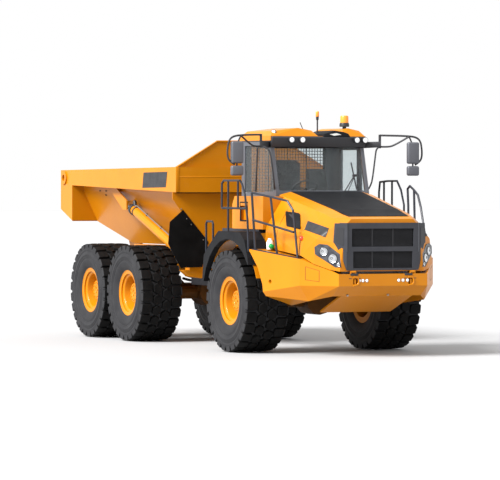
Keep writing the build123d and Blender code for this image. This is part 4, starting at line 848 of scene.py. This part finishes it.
class TRUCK_OT_cab_detail(Operator):
    """Wiper, rear window mesh, steering wheel and door pull"""

    bl_idname = "truck.cab_detail"
    bl_label = "Cab detail"

    def execute(self, context):
        arm = [
            rod(screen_place(0.36, 2.5, 0.03), screen_place(0.565, 2.755, 0.035), 0.009, 8),
            rod(screen_place(0.42, 2.5, 0.03), screen_place(0.575, 2.755, 0.035), 0.007, 8),
            rod(screen_place(0.548, 2.96, 0.008), screen_place(0.59, 2.535, 0.008), 0.01, 6),
            rod(screen_place(0.548, 2.96, 0.02), screen_place(0.59, 2.535, 0.02), 0.006, 6),
            block(screen_place(0.545, 2.735, 0.045), screen_place(0.6, 2.775, 0.005), 0.004),
        ]
        dress(join(arm), "windscreen_wiper", "black_trim")
        y, uprights, levels = aft(0.9965), 27, 16
        bars = []
        for x in (-0.63 + i * 1.26 / (uprights - 1) for i in range(uprights)):
            bars.append(rod((x, y, 2.455), (x, y, 3.205), MESH_WIRE, 6))
        for z in (2.47 + i * 0.72 / (levels - 1) for i in range(levels)):
            bars.append(rod((-0.64, y + 0.004, z), (0.64, y + 0.004, z), MESH_WIRE, 6))
        dress(join(bars), "rear_window_mesh", "black_trim")
        clear()
        bpy.ops.mesh.primitive_torus_add(
            major_segments=40, minor_segments=10, major_radius=0.205, minor_radius=0.015,
            location=at(-0.12, 0.075, 2.555), rotation=(radians(-38), 0, 0),
        )
        wheel = settle()
        hub = at(-0.12, 0.055, 2.54)
        spokes = [
            rod(hub, at(-0.12 + 0.2 * dx, 0.075 + 0.16 * dz, 2.555 + 0.12 * dz), 0.012, 8)
            for dx, dz in ((-0.97, 0.1), (0.97, 0.1), (0, -0.95))
        ]
        dress(join([wheel, *spokes]), "steering_wheel", "black_trim")
        grip = ((0.812, 2.72), (0.842, 2.72), (0.842, 2.6), (0.842, 2.48), (0.812, 2.48))
        handle = pipe(front_view(0.075, grip), 0.01)
        dress(handle, "door_pull", "black_trim", "door")
        return {"FINISHED"}


class TRUCK_OT_seats(Operator):
    """Padded cushions on the two seats"""

    bl_idname = "truck.seats"
    bl_label = "Seats"

    def execute(self, context):
        pads = (  # name, low and high corner of each pad
            ("driver_cushion", at(-0.35, 0.44, 2.388), at(0.11, 0.8, 2.44)),
            ("driver_back", at(-0.33, 0.69, 2.44), at(0.09, 0.76, 2.96)),
            ("trainer_cushion", at(0.265, 0.54, 2.388), at(0.595, 0.8, 2.43)),
        )
        for name, low, high in pads:
            pad = block(low, high, 0.016, 3)
            modify(pad, "SUBSURF", levels=1, render_levels=1)
            dress(pad, name, "seat_cloth", smooth=60)
        return {"FINISHED"}


# Bumper and skirts
TOW_LOOP = ((-0.035, 1.222), (0.03, 1.222), (0.058, 1.19), (0.058, 1.13), (0.03, 1.098), (-0.035, 1.098))
SMALL_LENS = ((-0.004, 0.023), (0.006, 0.023), (0.01, 0.017), (0.012, 0.006))
SMALL_RING = ((-0.006, 0.029), (0.002, 0.029), (0.005, 0.024))
ACCESS_PANEL = ((-1.985, 1.375), (-2.185, 1.315), (-2.185, 1.15), (-1.985, 1.175))


class TRUCK_OT_bumper_detail(Operator):
    """Small lamps, dark hood stops, slots shown as painted shade, tow loops, guard bolts and panel seams"""

    bl_idname = "truck.bumper_detail"
    bl_label = "Bumper detail"

    def execute(self, context):
        lamps, rings = [], []
        for x in (-0.403, -0.343, -0.277, 0.26, 0.333, 0.408):
            for profile, row in ((SMALL_LENS, lamps), (SMALL_RING, rings)):
                row.append(turned_at(profile, 20, at(x, -2.462, 1.17), FORWARDS))
        dress(join(lamps), "bumper_lamps", "lamp_white")
        for x in (-0.486, 0.427):
            rings.append(block(at(x - 0.066, -2.474, 1.244), at(x + 0.066, -2.44, 1.278), 0.008))
        # thin black blocks over the slots: painted shade in the openings
        for x in (-0.552, -0.405, 0.372, 0.535):
            rings.append(block(at(x - 0.026, -2.4665, 1.196), at(x + 0.026, -2.46, 1.208), 0.003))
        dress(join(rings), "bumper_dark_parts_and_slot_shade", "black_trim")
        loops = []
        for x in (-0.47, 0.455):
            loops.append(pipe(front_view(-2.466, [(x + across, z) for across, z in TOW_LOOP]), 0.015))
        dress(join(loops), "tow_loops", "amber_paint", smooth=50)
        bolts = []
        for x in (-0.515, 0.165):
            place = at(x, -2.285, 0.95)
            bolts.append(rod(place + Vector((0, 0.014, 0.01)), place + Vector((0, -0.012, -0.012)), 0.02, 8, 0.016))
        dress(join(bolts), "guard_bolts", "zinc_bolt")
        seams = []
        for (y0, z0), (y1, z1) in zip(ACCESS_PANEL, ACCESS_PANEL[1:] + ACCESS_PANEL[:1]):
            dy, dz = (0, 0.005) if abs(y1 - y0) > abs(z1 - z0) else (0.006, 0)
            corners = side_view(-1.2, [(y0, z0), (y1, z1), (y1 + dy, z1 + dz), (y0 + dy, z0 + dz)])
            seams.append(patch(corners, "bumper", INWARDS, 0.0008, 0.0015, 3))
        dress(both_sides(join(seams)), "corner_panel_seams", "seam_and_shadow_black", smooth=20)
        return {"FINISHED"}


BOTTLE = ((0, 0.052), (0.105, 0.055), (0.125, 0.045), (0.15, 0.03), (0.17, 0.03))
CAP = ((0, 0.038), (0.01, 0.044), (0.045, 0.044), (0.058, 0.036), (0.062, 0.015))


class TRUCK_OT_service(Operator):
    """Washer bottle, filler cap, liners of the mudguards and the air duct's frame"""

    bl_idname = "truck.service"
    bl_label = "Service items"

    def execute(self, context):
        bottle = turned_at(BOTTLE, 28, at(-1.17, -0.9, 1.618), UPWARDS)
        dress(bottle, "washer_bottle", "milky_plastic_and_glint")
        cap = turned_at(CAP, 24, at(-1.2, -0.985, 1.64), Matrix.Rotation(radians(-55), 4, "Y"))
        dress(cap, "filler_cap", "green_cap")
        arch = [radians(22 + 7.5 * i) for i in range(19)]
        rim = [(0.962 * cos(a), AXLE_Z + 0.962 * sin(a)) for a in arch]
        rim += [(0.954 * cos(a), AXLE_Z + 0.954 * sin(a)) for a in reversed(arch)]
        liner = prism(side_view(-1.15, rim), (-0.24, 0, 0))
        dress(both_sides(liner), "mudguard_liners", "amber_paint", smooth=40)
        rails = [
            block(at(-1.1515, ahead, low), at(-1.1335, behind, high), 0.003)
            for ahead, behind, low, high in (
                (-0.035, -0.012, 2.035, 2.345), (0.255, 0.278, 2.035, 2.345),
                (-0.012, 0.255, 2.035, 2.058), (-0.012, 0.255, 2.322, 2.345),
            )
        ]
        dress(join(rails), "air_duct_frame", "moulded_plastic")
        return {"FINISHED"}


# Bin
BIN_PLATE = ((3.72, 2.8), (2.72, 2.812), (2.78, 2.56), (3.77, 2.548))
FLAP_BOLTS = ((-1.202, 2.208), (-1.105, 2.052), (-1.025, 1.958), (-0.812, 1.706))
HEADBOARD_EDGE = ((1.335, 2.892), (0.605, 3.322), (0.605, 3.302), (1.335, 2.866))
# holes in the bin's rails, shown as dark patches of painted shade
RAIL_SLOTS = ((6.193, 2.489), (5.914, 2.487), (5.996, 2.415))
SLOT_CORNERS = ((-0.035, 0.014), (0.035, 0.014), (0.035, -0.014), (-0.035, -0.014))
RUNNER = ((4.15, 1.588), (5.7, 1.588), (5.7, 1.53), (4.25, 1.52))


class TRUCK_OT_bin_detail(Operator):
    """Blank plate, flap bolts, front lips, painted shadow under the front beam, painted shade in the rail holes and
    runner beams
    """

    bl_idname = "truck.bin_detail"
    bl_label = "Bin detail"

    def execute(self, context):
        plate = patch(side_view(-1.4, BIN_PLATE), "bin_sides", INWARDS, 0.0025, 0.003, 2)
        dress(both_sides(plate), "bin_blank_plate", "blank_plate", "bin", 20)
        bolts = [rod(at(x, 2.501, z), at(x, 2.486, z), 0.013, 6, 0.011) for x, z in FLAP_BOLTS]
        dress(both_sides(join(bolts)), "flap_bolts", "zinc_bolt", "bin")
        front, high, low = 2.37, 2.888, 2.482
        lips = [
            block(at(-1.352, front - 0.006, low), at(-1.29, front + 0.02, high), 0.004),
            block(at(1.29, front - 0.006, low), at(1.352, front + 0.02, high), 0.004),
            block(at(-1.29, front - 0.004, 2.725), at(1.29, front + 0.01, 2.741), 0.003),
        ]
        for side in (LEFT, RIGHT):
            edge = [(side * x, z) for x, z in HEADBOARD_EDGE]
            lips.append(prism(front_view(2.385, edge), (0, 0.05, 0), 0.003))
        lips.append(block(at(-0.61, 2.385, 3.302), at(0.61, 2.435, 3.324), 0.003))
        dress(join(lips), "bin_front_lips", "amber_paint", "bin", 30)
        # painted shadow: a thin dark strip under the front beam
        shadow = block(at(-1.286, 2.4925, 2.462), at(1.286, 2.4995, 2.479), 0.001)
        holes = []
        # painted shade: dark patches over the rail holes
        for y, z in RAIL_SLOTS:
            corners = side_view(-1.3, [(y - a, z + b) for a, b in SLOT_CORNERS])
            holes.append(patch(corners, "bin_sides", INWARDS, 0.001, 0.002, 1))
        dress(join([shadow, *holes]), "bin_painted_shadows", "seam_and_shadow_black", "bin", 20)
        beam = prism(side_view(-0.66, RUNNER), (-0.05, 0, 0), 0.006)
        dress(both_sides(beam), "bin_runner_beams", "amber_paint", "bin", 30)
        return {"FINISHED"}


# Rear frame and rams
LINE_RISE = ((2.3, 0.1), (2.6, 0.03), (3, 0), (3.6, 0), (3.9, 0.03))
RAM_WEB = ((-1.15, 1.215), (-0.6, 1.215), (-0.6, 1.076), (-0.794, 1.076), (-1.03, 1.106), (-1.13, 1.193))


class TRUCK_OT_hitch_detail(Operator):
    """Valve block with its clamped lines beside the rear frame, and the webs under the ram feet"""

    bl_idname = "truck.hitch_detail"
    bl_label = "Hitch detail"

    def execute(self, context):
        parts = []
        for x, z in ((-0.5, 1.06), (-0.56, 1.01)):
            parts.append(pipe(side_view(x, [(distance, z + rise) for distance, rise in LINE_RISE]), 0.022))
        parts.append(block(at(-0.6, 2.78, 0.95), at(-0.46, 3.48, 1.095), 0.012))
        parts.append(block(at(-0.58, 3.24, 1.09), at(-0.5, 3.33, 1.13), 0.01))
        parts.append(block(at(-0.47, 3.2, 1.0), at(-0.385, 3.44, 1.06), 0.006))
        dress(both_sides(join(parts)), "line_clamps_and_valves", "black_trim", "rear_frame")
        plate = prism(front_view(2.545, RAM_WEB), (0, 0.17, 0), 0.008)
        dress(both_sides(plate), "ram_foot_webs", "amber_paint", "rear_frame", 30)
        return {"FINISHED"}


RAM_X = 1.12
RAM_FOOT, RAM_HEAD = Vector((aft(2.62), 1.48)), Vector((aft(4.9), 2.25))  # y and z of both pivots
GLAND_BACK = 0.175  # from the head's pivot back to the end of the barrel
GLAND_RINGS = (  # distance from the gland and lift of both ends, then the rod's form
    (-0.075, 0, -0.004, 0, (0.094, 32, None, 0.006)),
    (-0.18, 0, -0.15, 0, (0.088, 32, None, 0.004)),
    (-0.085, 0.07, -0.02, 0.15, (0.034, 20, 0.03, 0.006)),
    (-0.6, 0.07, -0.6, 0.122, (0.016, 12)),
    (-1.25, 0.07, -1.25, 0.122, (0.016, 12)),
)
FEED_PIPE = ((-0.12, 0.085), (-0.15, 0.115), (-0.26, 0.118))  # from the gland: distance and lift of its bends
FEED_PIPE_FOOT = ((1.1, 0.115), (0.42, 0.113), (0.33, 0.1), (0.31, 0.08))  # and from the foot


class TRUCK_OT_ram_detail(Operator):
    """Collars, gland rings and feed pipes of the two tipping rams"""

    bl_idname = "truck.ram_detail"
    bl_label = "Ram detail"

    def execute(self, context):
        run = (RAM_HEAD - RAM_FOOT).normalized()
        normal = Vector((-run.y, run.x))

        def spot(side, distance, lift=0.0, across=0.0):
            place = RAM_FOOT + run * distance + normal * lift
            return Vector((side * (RAM_X + across), place.x, place.y))

        gland = (RAM_HEAD - RAM_FOOT).length - GLAND_BACK
        for name, side in (("right", RIGHT), ("left", LEFT)):
            rings = [
                rod(spot(side, gland + start, low), spot(side, gland + end, high), *form)
                for start, low, end, high, form in GLAND_RINGS
            ]
            rings.insert(2, rod(spot(side, 0.3), spot(side, 0.34), 0.088, 32, bevel=0.004))
            dress(join(rings), f"ram_collars_{name}", "black_trim", f"tip_barrel_{name}")
            bends = [(gland + distance, lift) for distance, lift in FEED_PIPE] + list(FEED_PIPE_FOOT)
            feed = pipe([spot(side, distance, lift, 0.02) for distance, lift in bends], 0.009)
            dress(feed, f"ram_feed_pipe_{name}", "zinc_bolt", f"tip_barrel_{name}")
        return {"FINISHED"}


# Studio
CAMERA_AT = (-24.442, -54.302, 2.742)
CAMERA_TURNS = ((radians(-24.259), "Z"), (pi / 2 - radians(1.004), "X"), (radians(0.09), "Z"))
CAMERA_LENS, CAMERA_FILM = 262.17, 36
KEY_AT, KEY_ANGLE = (-17.5, -3.5, 15), radians(28)


class TRUCK_OT_studio(Operator):
    """Make the floor, the light and the camera at the photograph's angle"""

    bl_idname = "truck.studio"
    bl_label = "Studio"

    def execute(self, context):
        studio = context.scene.truck_studio
        clear()
        bpy.ops.mesh.primitive_plane_add(size=400, location=(0, 0, -0.001))
        floor = context.object
        floor.name = "studio_floor"
        shade = [c * 0.985 for c in studio.floor]
        floor.data.materials.append(surface("floor_paper", studio.floor, shade, 0.3, (0.85, 0.95), 30, 0.0))
        world = bpy.data.worlds.new("studio_light")
        world.use_nodes = True
        sky = world.node_tree.nodes["Background"].inputs
        sky["Color"].default_value, sky["Strength"].default_value = (1, 1, 1, 1), studio.fill
        context.scene.world = world
        context.scene.view_settings.view_transform = "Standard"
        light = bpy.data.objects.new("key_light", bpy.data.lights.new("key_light", "SUN"))
        light.data.angle, light.data.energy = KEY_ANGLE, studio.key
        light.location = KEY_AT
        light.rotation_euler = (-light.location).to_track_quat("-Z", "Y").to_euler()
        context.collection.objects.link(light)
        camera = bpy.data.objects.new("photo_camera", bpy.data.cameras.new("photo_camera"))
        camera.data.sensor_width, camera.data.lens = CAMERA_FILM, CAMERA_LENS
        place = Matrix.Translation(CAMERA_AT)
        for angle, axis in CAMERA_TURNS:
            place = place @ Matrix.Rotation(angle, 4, axis)
        camera.matrix_world = place
        camera.data.clip_end = 400
        context.collection.objects.link(camera)
        context.scene.camera = camera
        return {"FINISHED"}


class TRUCK_PT_panel(Panel):
    """Sidebar list of the truck's steps"""

    bl_label = "Dump truck"
    bl_space_type = "VIEW_3D"
    bl_region_type = "UI"
    bl_category = "Truck"

    def draw(self, context):
        for group in (getattr(context.scene, name) for name, _ in GROUPS):
            for name in group.__annotations__:
                self.layout.prop(group, name)
        for step in STEPS:
            self.layout.operator(step.bl_idname)


STEPS = (
    TRUCK_OT_finishes, TRUCK_OT_tyres, TRUCK_OT_rims, TRUCK_OT_headlamps, TRUCK_OT_grille, TRUCK_OT_hood_detail,
    TRUCK_OT_cab_body, TRUCK_OT_roof, TRUCK_OT_mirrors, TRUCK_OT_cab_detail, TRUCK_OT_seats, TRUCK_OT_bumper_detail,
    TRUCK_OT_service, TRUCK_OT_bin_detail, TRUCK_OT_ram_detail, TRUCK_OT_hitch_detail, TRUCK_OT_studio,
)
GROUPS = (("truck_paint", TruckPaint), ("truck_tyre", TruckTyre), ("truck_studio", TruckStudio))
CLASSES = (TruckPaint, TruckTyre, TruckStudio, *STEPS, TRUCK_PT_panel)


def register():
    for cls in CLASSES:
        bpy.utils.register_class(cls)
    for name, group in GROUPS:
        setattr(bpy.types.Scene, name, PointerProperty(type=group))


def unregister():
    for name, _ in GROUPS:
        delattr(bpy.types.Scene, name)
    for cls in reversed(CLASSES):
        bpy.utils.unregister_class(cls)


def main():
    register()
    for step in STEPS:
        getattr(bpy.ops.truck, step.bl_idname.removeprefix("truck."))()


if __name__ == "__main__":
    main()
